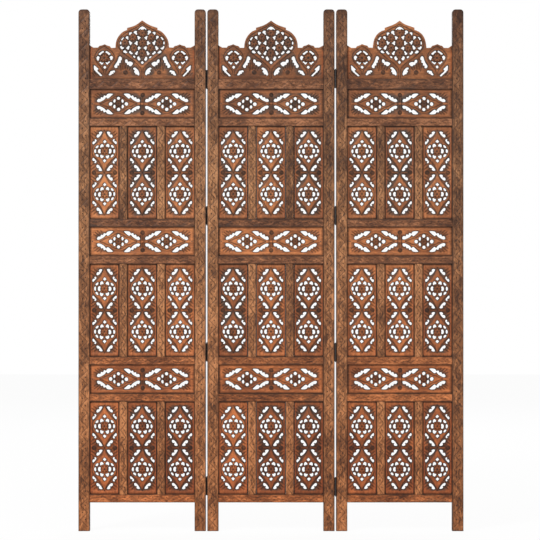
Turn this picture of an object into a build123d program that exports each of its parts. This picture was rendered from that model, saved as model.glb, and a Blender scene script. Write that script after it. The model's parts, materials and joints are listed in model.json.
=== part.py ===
"""Carved jali screen: three framed leaves of pierced panels, joined by butt hinges.

Sizes are in mm. The front is -Y, up is +Z, x = 0 is the middle of the centre leaf
and y = 0 is the middle of the leaf's thickness.
"""
import os

from build123d import *

# ---- Driving dimensions ----------------------------------------------------

# Leaves and stiles
leaf_width = 400.0
fold_gap = 5.0
stile_height = 1640.0
stile_rise = 34.0
stile_width = 35.0
stile_thickness = 25.0
stile_top_radius = 10.0

# Rails and the rows of panels between them. The tall rows share the height that the
# feet, rails, bands and crest leave, with the stiles rising past the crest's peak.
foot_height = 90.0
rail_height = 25.0
crest_rail_height = 33.0
rail_thickness = 22.0
band_row_height = 91.0

# Uprights between the tall panels of one row
bays = 3
mullion_width = 26.0
mullion_thickness = 20.0

# Panels and the grooves that hold them
panel_thickness = 10.0
groove_depth = 8.0
seat_clearance = 0.2

# Tall jali panel: two ogee medallions, one above the other
tall_side_margin = 9.0
tall_end_margin = 10.5
medallions_per_tall = 2

# Band panel: two pointed medallions, side by side
band_side_margin = 23.0
band_middle_margin = 18.0
band_edge_margin = 11.0

# Crest panel: heights above the top of the crest rail, widths inwards from the stiles
crest_side_height = 106.0
crest_side_slope = 13.0
crest_shoulder_height = 98.0
crest_arch_inset = 47.0
crest_arch_half_width = 20.0
crest_arch_step = 6.0
crest_arch_peak = 11.0
crest_valley_width = 14.0
crest_step_inset = 37.0
crest_step_height = 7.0
crest_peak_height = 184.0
crest_peak_rise = 23.0
crest_peak_hollow = 4.0
crest_border = 10.0
crest_peak_border = 16.0
lattice_rise = 16.0
crest_medallion_drop = 30.0
crest_medallion_half_width = 24.0
crest_medallion_half_height = 44.0

# Butt hinges: their middles above the bottoms of the rails under the jali rows and the crest
hinge_rises = (50.0, 39.0, 36.0, 33.0)
hinge_length = 56.0
hinge_plate_width = 21.0
hinge_plate_thickness = 1.2
barrel_standoff = 3.0
knuckle_sides = 8
knuckle_gap = 0.3
pin_radius = 1.25
pin_clearance = 0.05

# ---- Values that follow from them ------------------------------------------

inner_width = leaf_width - 2 * stile_width
bay_width = (inner_width - (bays - 1) * mullion_width) / bays
bay_pitch = bay_width + mullion_width
groove_width = panel_thickness + 2 * seat_clearance
seat_depth = groove_depth - seat_clearance
rows = ("lower_jali", "lower_band", "middle_jali", "middle_band", "upper_jali", "upper_band")
band_rows = sum(row.endswith("band") for row in rows)
crest_top = stile_height - stile_rise
panel_heights = crest_top - crest_peak_height - crest_rail_height - len(rows) * rail_height - foot_height
tall_row_height = (panel_heights - band_rows * band_row_height) / (len(rows) - band_rows)
leaf_centres = {
    "left_leaf": -(leaf_width + fold_gap),
    "centre_leaf": 0.0,
    "right_leaf": leaf_width + fold_gap,
}
crest_arch_offset = inner_width / 2 - crest_arch_inset
crest_bulb_half_width = crest_arch_offset - crest_arch_half_width - crest_valley_width
crest_step_half_width = crest_bulb_half_width - crest_step_inset
crest_bulb_height = crest_peak_height - crest_peak_rise - crest_step_height
barrel_radius = fold_gap / 2


def is_band(row):
    return row.endswith("band")


def row_levels():
    """The bottom and top of every row's opening, and the bottom of every rail."""
    openings = {}
    rails = []
    level = foot_height
    for row in rows:
        rails.append(level)
        level += rail_height
        height = band_row_height if is_band(row) else tall_row_height
        openings[row] = (level, level + height)
        level += height
    rails.append(level)
    return openings, rails


row_openings, rail_bottoms = row_levels()
crest_base = rail_bottoms[-1] + crest_rail_height
hinge_heights = [bottom + rise for bottom, rise in zip(rail_bottoms[::2], hinge_rises)]

# ---- Outlines ---------------------------------------------------------------


def rectangle_wire(left, right, bottom, top):
    corners = [(left, bottom), (right, bottom), (right, top), (left, top)]
    return Wire.make_polygon([Vector(x, z) for x, z in corners])


def board(edge, openings, thickness):
    """A flat board in the leaf's plane, with straight-sided openings cut through it."""
    holes = [Wire.make_polygon([Vector(x, z) for x, z in points]) for points in openings]
    face = Plane.XZ * Face(edge, holes)
    return extrude(face, amount=thickness / 2, both=True).solid()


def both_sides(openings):
    """The openings given, and the same ones mirrored left to right."""
    return openings + [[(-x, z) for x, z in points] for points in openings]


def both_ends(openings):
    """The openings given, and the same ones mirrored top to bottom."""
    return openings + [[(x, -z) for x, z in points] for points in openings]


def placed(openings, centre_x, centre_z, half_width=1.0, half_height=1.0):
    """Openings drawn about their own middle, stretched and put in their real place."""
    return [
        [(centre_x + half_width * x, centre_z + half_height * z) for x, z in points]
        for points in openings
    ]


# ---- The fretwork ------------------------------------------------------------

# Each medallion is an ogee round a solid rosette. Inside it, openings fan out
# from the rosette, and outside it a leaf-shaped opening lies along each quarter
# of the ogee. Points are shares of the medallion's half width and half height.


def upright_medallion():
    leaf = [(0.18, 0.90), (0.82, 0.74), (0.97, 0.33)]
    round_the_rosette = [(0.88, 0.0), (0.07, 0.51), (0.33, 0.0), (0.07, -0.51)]
    return both_ends(both_sides([leaf])) + both_sides([round_the_rosette])


def lying_medallion():
    leaf = [(0.27, 0.98), (0.52, 0.98), (1.00, 0.24), (0.64, 0.38)]
    round_the_rosette = [(0.45, 0.0), (0.04, 0.72), (0.17, 0.0), (0.04, -0.72)]
    return both_ends(both_sides([leaf])) + both_sides([round_the_rosette])


def tall_openings(centre_x, bottom, top):
    half_width = bay_width / 2 - tall_side_margin
    pitch = (top - bottom - 2 * tall_end_margin) / medallions_per_tall
    openings = []
    for i in range(medallions_per_tall):
        centre_z = bottom + tall_end_margin + (i + 0.5) * pitch
        openings += placed(upright_medallion(), centre_x, centre_z, half_width, pitch / 2)
    return openings


def band_openings(bottom, top):
    half_width = (inner_width / 2 - band_side_margin - band_middle_margin / 2) / 2
    offset = band_middle_margin / 2 + half_width
    half_height = (top - bottom) / 2 - band_edge_margin
    middle = (bottom + top) / 2
    openings = []
    for side in (-1, 1):
        openings += placed(lying_medallion(), side * offset, middle, half_width, half_height)
    return openings


def lattice_openings():
    """Openings of the crest's middle field, which is a lattice of rosettes.

    The rosettes stand on a triangular grid, and a small three-cornered opening
    lies between each three of them, with its corners at the joins of their rims.
    Points are shares of the rosettes' distance, which is taken across from the
    bulb's width and upwards from the height over the lattice's middle.
    """
    across = 3**0.5 / 2
    reach = 0.23
    half_side = reach * 3**0.5 / 2
    pointing_in = [(-reach, 0), (reach / 2, half_side), (reach / 2, -half_side)]
    pointing_out = [(-x, z) for x, z in pointing_in]
    right_half = placed([pointing_out], across * 2 / 3, 0) + placed([pointing_in], across * 4 / 3, 0)
    for row in (-1, 1):
        right_half += placed([pointing_in], across / 3, row / 2)
        right_half += placed([pointing_out], across * 5 / 3, row / 2)
        right_half += placed([pointing_out], across * 2 / 3, row)
    tip = [(-0.34, 0), (0.34, 0), (0, 0.36)]
    top_tip = placed([tip], 0, 1.32)
    bottom_tip = placed([tip], 0, -1.42, 1, -1.5)
    middle = crest_shoulder_height + lattice_rise
    pitch_across = (crest_bulb_half_width - crest_border) * 3**0.5 / 4
    pitch_up = (crest_peak_height - crest_peak_border - middle) / 1.68
    openings = both_sides(right_half) + top_tip + bottom_tip
    return placed(openings, 0, crest_base + middle, pitch_across, pitch_up)


def crest_openings():
    """All openings of the crest: lattice, side medallions and the leaves between."""
    round_the_rosette = [(0.98, 0.0), (0.09, 0.62), (0.50, 0.0), (0.09, -0.56)]
    drop = [(-0.34, -0.66), (0.34, -0.66), (0.0, -0.92)]
    outer_leaf = [(1.30, -0.48), (0.22, -1.28), (0.70, -1.20)]
    inner_leaf = [(-0.60, -1.22), (-1.0, -0.86), (-1.46, -0.92)]
    medallion = both_sides([round_the_rosette]) + [drop, outer_leaf, inner_leaf]
    arch_z = crest_base + crest_shoulder_height - crest_medallion_drop
    right_half = placed(
        medallion,
        crest_arch_offset,
        arch_z,
        crest_medallion_half_width,
        crest_medallion_half_height,
    )
    # Leaves under the middle field, in shares of its half width and the shoulder's height
    tall_leaf = [(0.84, 0.75), (0.73, 0.71), (0.93, 0.37), (1.02, 0.45)]
    wide_leaf = [(0.62, 0.68), (0.29, 0.50), (0.45, 0.38)]
    low_leaf = [(0.31, 0.36), (0.09, 0.20), (0.15, 0.10)]
    right_half += placed(
        [tall_leaf, wide_leaf, low_leaf], 0, crest_base, crest_bulb_half_width, crest_shoulder_height
    )
    return both_sides(right_half) + lattice_openings()


def crest_edge():
    """The crest's outline: side slopes, small stepped arches, and the ogee bulb."""
    side = inner_width / 2
    shoulder = crest_base + crest_shoulder_height
    side_top = crest_base + crest_side_height
    arch_step = shoulder + crest_arch_step
    arch_slant = crest_arch_step / 2
    arch_out = crest_arch_offset + crest_arch_half_width
    arch_in = crest_arch_offset - crest_arch_half_width
    bulb_top = crest_base + crest_bulb_height
    step_top = bulb_top + crest_step_height
    low_edge = Polyline(
        (0, crest_base - seat_depth),
        (side + seat_depth, crest_base - seat_depth),
        (side + seat_depth, side_top),
        (side, side_top),
        (side - crest_side_slope, shoulder),
        (arch_out, shoulder),
        (arch_out - arch_slant, arch_step),
        (crest_arch_offset, shoulder + crest_arch_peak),
        (arch_in + arch_slant, arch_step),
        (arch_in, shoulder),
        (crest_bulb_half_width, shoulder),
    )
    bulb = TangentArc(
        (crest_bulb_half_width, shoulder), (crest_step_half_width, bulb_top), tangent=(0, 1)
    )
    step = Line((crest_step_half_width, bulb_top), (crest_step_half_width, step_top))
    hollow = SagittaArc(
        (crest_step_half_width, step_top), (0, crest_base + crest_peak_height), crest_peak_hollow
    )
    half = Curve() + [low_edge, bulb, step, hollow]
    return make_face(half + mirror(half, about=Plane.YZ)).face().outer_wire()


# ---- Wooden pieces of one leaf, drawn about its own centre line --------------


def stile(side):
    """A long upright, with side -1 for the left one and 1 for the right one."""
    front = Pos(side * (leaf_width - stile_width) / 2, stile_height / 2)
    front *= Rectangle(stile_width, stile_height)
    front = fillet(front.vertices().group_by(Axis.Y)[-1], stile_top_radius)
    body = extrude(Plane.XZ * front, amount=stile_thickness / 2, both=True)
    groove_top = crest_base + crest_side_height + seat_clearance
    groove = Box(2 * groove_depth, groove_width, groove_top - foot_height)
    groove = Pos(side * inner_width / 2, 0, (foot_height + groove_top) / 2) * groove
    return (body - groove).solid()


def rail(bottom, height, groove_below=True):
    """A crosspiece grooved for the panels, with a tongue at each end for the stiles."""
    body = Box(inner_width, rail_thickness, height)
    body += Box(inner_width + 2 * seat_depth, panel_thickness, height - 2 * groove_depth)
    groove = Box(inner_width, groove_width, 2 * groove_depth)
    body -= Pos(0, 0, height / 2) * groove
    if groove_below:
        body -= Pos(0, 0, -height / 2) * groove
    return (Pos(0, 0, bottom + height / 2) * body).solid()


def mullion(centre_x, bottom, top):
    """A short upright that stands between two rails and parts two tall panels."""
    body = Box(mullion_width, mullion_thickness, top - bottom)
    return (Pos(centre_x, 0, (bottom + top) / 2) * body).solid()


def row_mullions(row):
    bottom, top = row_openings[row]
    return [mullion((i - bays / 2) * bay_pitch, bottom, top) for i in range(1, bays)]


def tall_panel(bay, row):
    """A tall panel, let into the rails, and into the stile where it stands beside one."""
    bottom, top = row_openings[row]
    centre_x = (bay - (bays - 1) / 2) * bay_pitch
    left_reach = seat_depth if bay == 0 else -seat_clearance
    right_reach = seat_depth if bay == bays - 1 else -seat_clearance
    left = centre_x - bay_width / 2 - left_reach
    right = centre_x + bay_width / 2 + right_reach
    edge = rectangle_wire(left, right, bottom - seat_depth, top + seat_depth)
    return board(edge, tall_openings(centre_x, bottom, top), panel_thickness)


def band_panel(row):
    bottom, top = row_openings[row]
    reach = inner_width / 2 + seat_depth
    edge = rectangle_wire(-reach, reach, bottom - seat_depth, top + seat_depth)
    return board(edge, band_openings(bottom, top), panel_thickness)


def leaf_pieces():
    """Every wooden piece of one leaf, by the name of its node."""
    pieces = {"left_stile": [stile(-1)], "right_stile": [stile(1)]}
    pieces["bottom_rail"] = [rail(rail_bottoms[0], rail_height, groove_below=False)]
    for row, below, above in zip(rows, rail_bottoms, rail_bottoms[1:]):
        if is_band(row):
            pieces[f"{row}_bottom_rail"] = [rail(below, rail_height)]
            pieces[f"{row}_panel"] = [band_panel(row)]
        else:
            pieces[f"{row}_panels"] = [tall_panel(bay, row) for bay in range(bays)]
        if is_band(row) and row != rows[-1]:
            pieces[f"{row}_top_rail"] = [rail(above, rail_height)]
    pieces["crest_rail"] = [rail(rail_bottoms[-1], crest_rail_height)]
    pieces["mullions"] = [piece for row in rows if not is_band(row) for piece in row_mullions(row)]
    pieces["crest_panel"] = [board(crest_edge(), crest_openings(), panel_thickness)]
    return pieces


# ---- Butt hinges, drawn at the left fold --------------------------------------

# The barrel stands behind the back face, midway in the gap. The centre leaf's
# plate carries the outer two knuckles and holds the pin, the other leaf's plate
# carries the middle one, which turns on it.

axis_x = -(leaf_width + fold_gap) / 2
axis_y = stile_thickness / 2 + barrel_standoff
knuckle_length = (hinge_length - 2 * knuckle_gap) / 3
knuckle_pitch = knuckle_length + knuckle_gap


def knuckle(side, middle_z, bore_radius):
    """A rolled barrel length joined to the plate that lies on the given side of it."""
    turn = 180 / knuckle_sides
    barrel = RegularPolygon(barrel_radius, knuckle_sides, major_radius=False, rotation=turn)
    tab_x = side * (barrel_radius - hinge_plate_thickness / 2)
    tab = Pos(tab_x, -barrel_standoff / 2) * Rectangle(hinge_plate_thickness, barrel_standoff)
    profile = barrel + tab
    if bore_radius:
        profile -= RegularPolygon(bore_radius, knuckle_sides, major_radius=False, rotation=turn)
    place = Pos(axis_x, axis_y, middle_z)
    return place * extrude(profile, amount=knuckle_length / 2, both=True)


def hinge_plate(side, middle_z):
    plate = Box(hinge_plate_thickness, hinge_plate_width, hinge_length)
    plate_x = axis_x + side * (barrel_radius - hinge_plate_thickness / 2)
    return Pos(plate_x, (stile_thickness - hinge_plate_width) / 2, middle_z) * plate


def centre_plate(middle_z):
    whole = hinge_plate(1, middle_z)
    for end in (-1, 1):
        whole += knuckle(1, middle_z + end * knuckle_pitch, 0)
    return whole.solid()


def leaf_plate(middle_z):
    whole = hinge_plate(-1, middle_z)
    whole += knuckle(-1, middle_z, pin_radius + pin_clearance)
    return whole.solid()


def hinge_pin(middle_z):
    length = knuckle_length + 2 * knuckle_gap
    return (Pos(axis_x, axis_y, middle_z) * Cylinder(pin_radius, length)).solid()


# ---- The whole screen ----------------------------------------------------------


def save(name, solids):
    """Write one node as one STEP file, one solid or a group of separate ones."""
    shape = solids[0] if len(solids) == 1 else Compound(children=list(solids))
    shape.label = name
    export_step(shape, f"parts/{name}.step")


def main():
    os.makedirs("parts", exist_ok=True)
    for name, solids in leaf_pieces().items():
        for leaf, centre_x in leaf_centres.items():
            save(f"{leaf}_{name}", [Pos(centre_x, 0, 0) * solid for solid in solids])
    # The right fold is the left one turned half round, so the screen folds in a zigzag
    for fold, turn in (("left_fold", Rot(0, 0, 0)), ("right_fold", Rot(0, 0, 180))):
        save(f"{fold}_centre_plates", [turn * centre_plate(z) for z in hinge_heights])
        save(f"{fold}_leaf_plates", [turn * leaf_plate(z) for z in hinge_heights])
        save(f"{fold}_pins", [turn * hinge_pin(z) for z in hinge_heights])


main()
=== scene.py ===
# %% [markdown]
# # A carved jali screen
#
# Three wooden leaves stand side by side and fold on black butt hinges. Each leaf is a
# frame of stiles, rails and short mullions, and holds pierced panels: tall ones with
# ogee medallions, wide bands, and a crest with a lattice of rosettes.
# The CAD model gives the place and the size of every piece. This lesson dresses it:
# it cuts the scalloped openings, carves both faces of the boards, engraves the frame,
# makes finer hinges, and gives everything its wood and iron.

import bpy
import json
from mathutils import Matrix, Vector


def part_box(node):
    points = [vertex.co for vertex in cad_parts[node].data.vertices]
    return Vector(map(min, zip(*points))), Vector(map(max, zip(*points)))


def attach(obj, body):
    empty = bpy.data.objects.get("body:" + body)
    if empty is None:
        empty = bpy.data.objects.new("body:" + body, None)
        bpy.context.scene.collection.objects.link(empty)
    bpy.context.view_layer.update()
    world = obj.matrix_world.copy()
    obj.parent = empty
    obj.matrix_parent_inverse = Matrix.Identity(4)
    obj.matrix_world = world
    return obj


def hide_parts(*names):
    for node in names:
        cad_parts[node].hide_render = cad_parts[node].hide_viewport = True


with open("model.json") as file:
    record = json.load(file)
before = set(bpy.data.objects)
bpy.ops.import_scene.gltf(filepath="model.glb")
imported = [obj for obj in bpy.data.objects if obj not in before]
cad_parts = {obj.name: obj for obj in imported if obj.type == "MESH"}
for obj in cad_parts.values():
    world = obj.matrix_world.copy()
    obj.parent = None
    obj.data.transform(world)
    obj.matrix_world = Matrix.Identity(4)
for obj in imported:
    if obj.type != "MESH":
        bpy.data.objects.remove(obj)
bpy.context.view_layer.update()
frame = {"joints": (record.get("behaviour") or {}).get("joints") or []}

# %% Tools
import json
import math

import bpy
import numpy as np
from mathutils import Vector, kdtree
from mathutils.geometry import delaunay_2d_cdt

MM = 0.001
rng = np.random.default_rng(7)
print("Blender", bpy.app.version_string)

# %% [markdown]
# ## Sizes that all leaves share
#
# The CAD nodes already stand in their places, so the sizes are read from their boxes
# rather than typed again. Everything on a leaf is drawn in millimetres about the
# leaf's own middle, x to the right and z up, and moved over once at the end.

# %% Leaves and rows
leaves = ("left_leaf", "centre_leaf", "right_leaf")
panel_rows = ("lower", "middle", "upper")


def box_mm(node):
    low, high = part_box(node)
    return np.array(low) / MM, np.array(high) / MM


def leaf_middle(leaf):
    return (box_mm(f"{leaf}_left_stile")[0][0] + box_mm(f"{leaf}_right_stile")[1][0]) / 2


def own_box(node):
    """A centre-leaf node's box, which is the same on every leaf about that leaf's middle."""
    return box_mm(f"centre_leaf_{node}")


inner_half = -own_box("left_stile")[1][0]
print("leaf middles:", [round(leaf_middle(leaf), 1) for leaf in leaves], "inner half width:", inner_half)

# %% [markdown]
# ## Curves
#
# A carver draws each opening with a few sweeps of a compass and a template. Here a
# curve is drawn the same way, by a few points that it passes through. A point with a
# third value is a corner, where the curve may turn sharply. The outer side of a leaf
# shape is a row of scallops, so its corners are pushed a little into the opening.

# %% Smooth curves
def smooth(points, step=1.3, closed=True):
    """Even points along a curve through the given ones."""
    spots = [np.array(p[:2], float) for p in points]
    corner = [len(p) > 2 for p in points]
    n = len(spots)
    out = []
    for i in range(n if closed else n - 1):
        j = (i + 1) % n
        a, b = spots[i], spots[j]
        chord = np.linalg.norm(b - a)
        start = end = b - a
        if not corner[i] and (closed or i > 0):
            before = a - spots[i - 1]
            start = (b - spots[i - 1]) * chord / (chord + np.linalg.norm(before))
        if not corner[j] and (closed or j < n - 1):
            after = spots[(j + 1) % n] - b
            end = (spots[(j + 1) % n] - a) * chord / (chord + np.linalg.norm(after))
        t = np.arange(max(2, round(chord / step)))[:, None]
        t = t / len(t)
        out.append(
            (2 * t**3 - 3 * t**2 + 1) * a + (t**3 - 2 * t**2 + t) * start
            + (3 * t**2 - 2 * t**3) * b + (t**3 - t**2) * end
        )
    if not closed:
        out.append(spots[-1][None])
    return np.concatenate(out)


def turns_left(loop):
    """True if a closed loop runs anticlockwise."""
    x, z = loop.T
    return np.sum(x * np.roll(z, -1) - np.roll(x, -1) * z) > 0


def notched(points, push):
    """The points of an opening with its corners pushed in, so that its scallops show."""
    spots = np.array([p[:2] for p in points], float)
    deep = spots - outward(spots) * push
    return [(*d, 1) if len(p) > 2 else p for p, d in zip(points, deep)]


def oval(x, z, half_x, half_z, count=16, squareness=2.0):
    """A round, oval or softly square opening."""
    angle = np.linspace(0, 2 * np.pi, count, endpoint=False)
    cos, sin = np.cos(angle), np.sin(angle)
    power = 2 / squareness
    reach_x = half_x * np.sign(cos) * np.abs(cos) ** power
    reach_z = half_z * np.sign(sin) * np.abs(sin) ** power
    return np.stack([x + reach_x, z + reach_z], 1)


def moved(loops, x=0.0, z=0.0, flip_x=1, flip_z=1):
    return [loop * (flip_x, flip_z) + (x, z) for loop in loops]


def mirrored(loops, across=True, up=False):
    """The loops with their mirror images: left and right, and bottom and top if asked."""
    out = list(loops)
    if across:
        out += moved(out, flip_x=-1)
    if up:
        out += moved(out, flip_z=-1)
    return out


print("a curve through four points has", len(smooth([(0, 0), (10, 0), (10, 10), (0, 10)])), "points")

# %% [markdown]
# ## A carved board
#
# A jali board is sawn through with a fretsaw, then carved on its face with chisels. In
# Blender a grid with a displace modifier would blur the openings, and a boolean cut for
# each one is slow. Instead the face is triangulated once, with the edges of all openings
# and grooves as fixed lines. Each point then sinks below the face by the depth of the
# carving there. The same face, turned round, makes the back, and walls join the two
# along every edge, so the board is closed.

# %% Triangulate a face
def inside(points, loop):
    """Which points lie inside a closed loop."""
    found = np.zeros(len(points), bool)
    low, high = loop.min(0), loop.max(0)
    near = np.nonzero(((points >= low) & (points <= high)).all(1))[0]
    if len(near) == 0:
        return found
    x, z = points[near, 0][:, None], points[near, 1][:, None]
    ax, az = loop.T
    bx, bz = np.roll(loop, -1, 0).T
    crosses = (az > z) != (bz > z)
    with np.errstate(divide="ignore", invalid="ignore"):
        at = ax + (z - az) * (bx - ax) / (bz - az)
    found[near] = (crosses & (x < at)).sum(1) % 2 == 1
    return found


def finder(lines, step=0.4):
    """A fast answer to how far points are from the nearest of some lines."""
    dense = []
    for line in lines:
        a, b = line[:-1], line[1:]
        for p, q in zip(a, b):
            count = max(1, int(np.linalg.norm(q - p) / step))
            dense.append(p + (q - p) * (np.arange(count) / count)[:, None])
        dense.append(line[-1:])
    dense = np.concatenate(dense)
    tree = kdtree.KDTree(len(dense))
    for i, (x, z) in enumerate(dense):
        tree.insert((x, z, 0), i)
    tree.balance()
    return lambda points: np.array([tree.find((x, z, 0))[2] for x, z in points])


def closed(loop):
    return np.concatenate([loop, loop[:1]])


def outward(loop):
    """The unit normals that point out of a closed loop."""
    way = np.roll(loop, -1, 0) - np.roll(loop, 1, 0)
    normal = np.stack([way[:, 1], -way[:, 0]], 1) * (1 if turns_left(loop) else -1)
    return normal / np.linalg.norm(normal, axis=1)[:, None]


def spaced(points, taken, gap):
    """Those of the points that keep a gap from the taken ones and from each other."""
    cells = {}
    for x, z in taken:
        cells.setdefault((int(x // gap), int(z // gap)), []).append((x, z))
    kept = []
    for x, z in points:
        i, j = int(x // gap), int(z // gap)
        close = (q for a in (-1, 0, 1) for b in (-1, 0, 1) for q in cells.get((i + a, j + b), ()))
        if all((q[0] - x) ** 2 + (q[1] - z) ** 2 >= gap * gap for q in close):
            cells.setdefault((i, j), []).append((x, z))
            kept.append((x, z))
    return np.array(kept).reshape(-1, 2)


def honeycomb(low, high, pitch):
    """Points in staggered rows that fill a rectangle."""
    rows = np.arange(low[1] + pitch / 2, high[1], pitch * 3**0.5 / 2)
    return np.array([
        (x, z) for i, z in enumerate(rows)
        for x in np.arange(low[0] + pitch * (0.5 + i % 2 / 2), high[0], pitch)
    ])


merge_gap, least_turn = 1e-4, 1e-7


def cut_face(outline, openings, grooves, fills):
    """Triangles of a flat face, with its openings left out. Fills are extra points, finest first."""
    points, edges = [], []
    count = 0
    for loop in [outline, *openings]:
        ids = count + np.arange(len(loop))
        edges += list(zip(ids.tolist(), np.roll(ids, -1).tolist()))
        points.append(loop)
        count += len(loop)
    for line in grooves:
        edges += [(count + i, count + i + 1) for i in range(len(line) - 1)]
        points.append(line)
        count += len(line)
    for spots, gap in fills:
        points.append(spaced(spots, np.concatenate(points), gap))
    spots = np.concatenate(points)
    flat, _, faces, *_ = delaunay_2d_cdt([tuple(p) for p in spots], edges, [], 0, merge_gap, False)
    flat = np.array([tuple(p) for p in flat])
    faces = np.array([f for f in faces if len(f) == 3])
    middle = flat[faces].mean(1)
    keep = inside(middle, outline)
    for loop in openings:
        keep &= ~inside(middle, loop)
    faces = faces[keep]
    a, b, c = flat[faces[:, 0]], flat[faces[:, 1]], flat[faces[:, 2]]
    turn = (b[:, 0] - a[:, 0]) * (c[:, 1] - a[:, 1]) - (b[:, 1] - a[:, 1]) * (c[:, 0] - a[:, 0])
    faces[turn < 0] = faces[turn < 0][:, ::-1]
    faces = faces[np.abs(turn) > least_turn]
    used = np.unique(faces)
    renumber = np.full(len(flat), -1)
    renumber[used] = np.arange(len(used))
    return flat[used], renumber[faces]


def face_edges(faces):
    """The open edges of a triangulated face, each with the face on its left."""
    pairs = np.concatenate([faces[:, [0, 1]], faces[:, [1, 2]], faces[:, [2, 0]]])
    both = {tuple(p) for p in pairs.tolist()}
    return np.array([p for p in pairs.tolist() if (p[1], p[0]) not in both])


print("a 40 mm square takes", len(honeycomb((0, 0), (40, 40), 6)), "points at 6 mm from each other")

# %% How carving fades
def eased(value):
    """A share from 0 to 1 with soft ends."""
    value = np.clip(value, 0, 1)
    return value * value * (3 - 2 * value)


def fading(away, reach, width):
    """1 near something, and 0 from its reach on, with a slope of the given width."""
    return eased((reach - away) / width)


def around(x, z, radii):
    """Rings of points about a middle, for forms that are carved in the round."""
    rings = [np.array([[x, z]])]
    for i, r in enumerate(radii):
        count = max(8, round(r * 4.2))
        angle = np.linspace(0, 2 * np.pi, count, endpoint=False) + (i % 2) * np.pi / count
        rings.append(np.stack([x + r * np.cos(angle), z + r * np.sin(angle)], 1))
    return np.concatenate(rings)


def web_width(points, openings):
    """How wide the wood is between the two openings nearest to each point."""
    first, second = np.full((2, len(points)), 50.0)
    for loop in openings:
        near = np.nonzero(((points > loop.min(0) - 8) & (points < loop.max(0) + 8)).all(1))[0]
        away = np.linalg.norm(points[near, None] - loop, axis=2).min(1)
        second[near] = np.minimum(np.maximum(first[near], away), second[near])
        first[near] = np.minimum(first[near], away)
    return first + second


def line_side(line):
    """The unit normals of an open line."""
    way = np.gradient(line, axis=0)
    way /= np.linalg.norm(way, axis=1)[:, None]
    return np.stack([way[:, 1], -way[:, 0]], 1)


print("half way down a 2 mm slope the share is", fading(2.0, 3.0, 2.0))

# %% Rosettes and knots
rosette_drop, petal_depth, eye_depth, dome_depth = 0.15, 1.3, 1.2, 1.9


def rosette_cut(flat, x, z, radius, petals, gloom):
    """Where a rosette is, and how deep and dark it is there: petals round an eye, in a moat."""
    dx, dz = flat[:, 0] - x, flat[:, 1] - z
    reach, angle = np.hypot(dx, dz) / radius, np.arctan2(dz, dx)
    on = reach < 1
    between_petals = np.abs(np.cos(petals * angle / 2))
    reach = reach / (1 - 0.1 * between_petals**2)
    valley = between_petals**5 * eased((reach - 0.36) / 0.2)
    eye = 1 - eased((reach - 0.24) / 0.14)
    dome = dome_depth * np.clip((reach - 0.5) / 0.5, 0, 1) ** 2
    moat = 0.85 * eased((reach - 0.78) / 0.2)
    dark = np.maximum(np.maximum(moat, gloom), np.maximum(0.85 * valley, 0.9 * eye))
    return on, rosette_drop + dome + petal_depth * valley + eye_depth * eye, dark


def knot_cut(flat, x, z, radius):
    """Where a knot is, and how deep and dark it is there: a low dome with a ring in it."""
    reach = np.hypot(flat[:, 0] - x, flat[:, 1] - z) / radius
    ring = eased(1 - np.abs(reach - 0.62) / 0.16)
    return reach < 1, 0.6 + 1.3 * reach**4 + 0.9 * ring, 0.79 + 0.16 * ring


print("a rosette's eye is", round(rosette_drop + eye_depth, 2), "mm deep")

# %% [markdown]
# ## Depth, darkness and polish
#
# The carver lowers the ground round each medallion, rounds the edge of each opening,
# cuts rosettes and knots in the round and draws lines with a gouge. The wax then stays
# dark in the grooves, and the hand rubs bright what stands proud. The edges of the
# openings and the narrow webs are darkened partly by soot and partly as painted shade,
# and a painted shadow runs along the frame. All this is worked out per point, from its
# distance to the lines.

# %% Carve a board
ground_depth, edge_round, bank = 2.0, 1.4, 1.3
rim_offsets = (1.15, 2.4)
# Darkness at halos and webs is soot and painted shade, along the frame it is a painted shadow of the bars,
# and in grooves it is soot
halo_soot_and_shade, web_soot_and_shade, painted_frame_shadow, groove_soot = 0.62, 0.86, 0.9, 0.92
coarse_pitch = 6


def board_points(openings, raised, windows, grooves, rounds, pitch, low, high):
    """Points for the triangles, finest first, each kind with the gap that it keeps."""
    rims = np.concatenate([loop + outward(loop) * off for loop in openings for off in rim_offsets])
    banks = np.concatenate([
        line + side * width * 0.95 * line_side(line) for line, width, _ in grooves for side in (-1, 1)])
    brinks = np.concatenate([loop + outward(loop) * off for loop in raised for off in (0, bank)])
    rings = np.concatenate([
        around(x, z, [r * 0.99, r + 0.75, *np.arange(0.1, 0.92, 0.1) * r]) for x, z, r, *_ in rounds])
    busy = np.concatenate([honeycomb(loop.min(0) - 4, loop.max(0) + 4, pitch) for loop in windows])
    return [(rings, 0.7), (rims, 0.75), (banks, 0.75), (brinks, 0.7), (busy, pitch * 0.72),
            (honeycomb(low, high, coarse_pitch), 4.5)]


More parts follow.
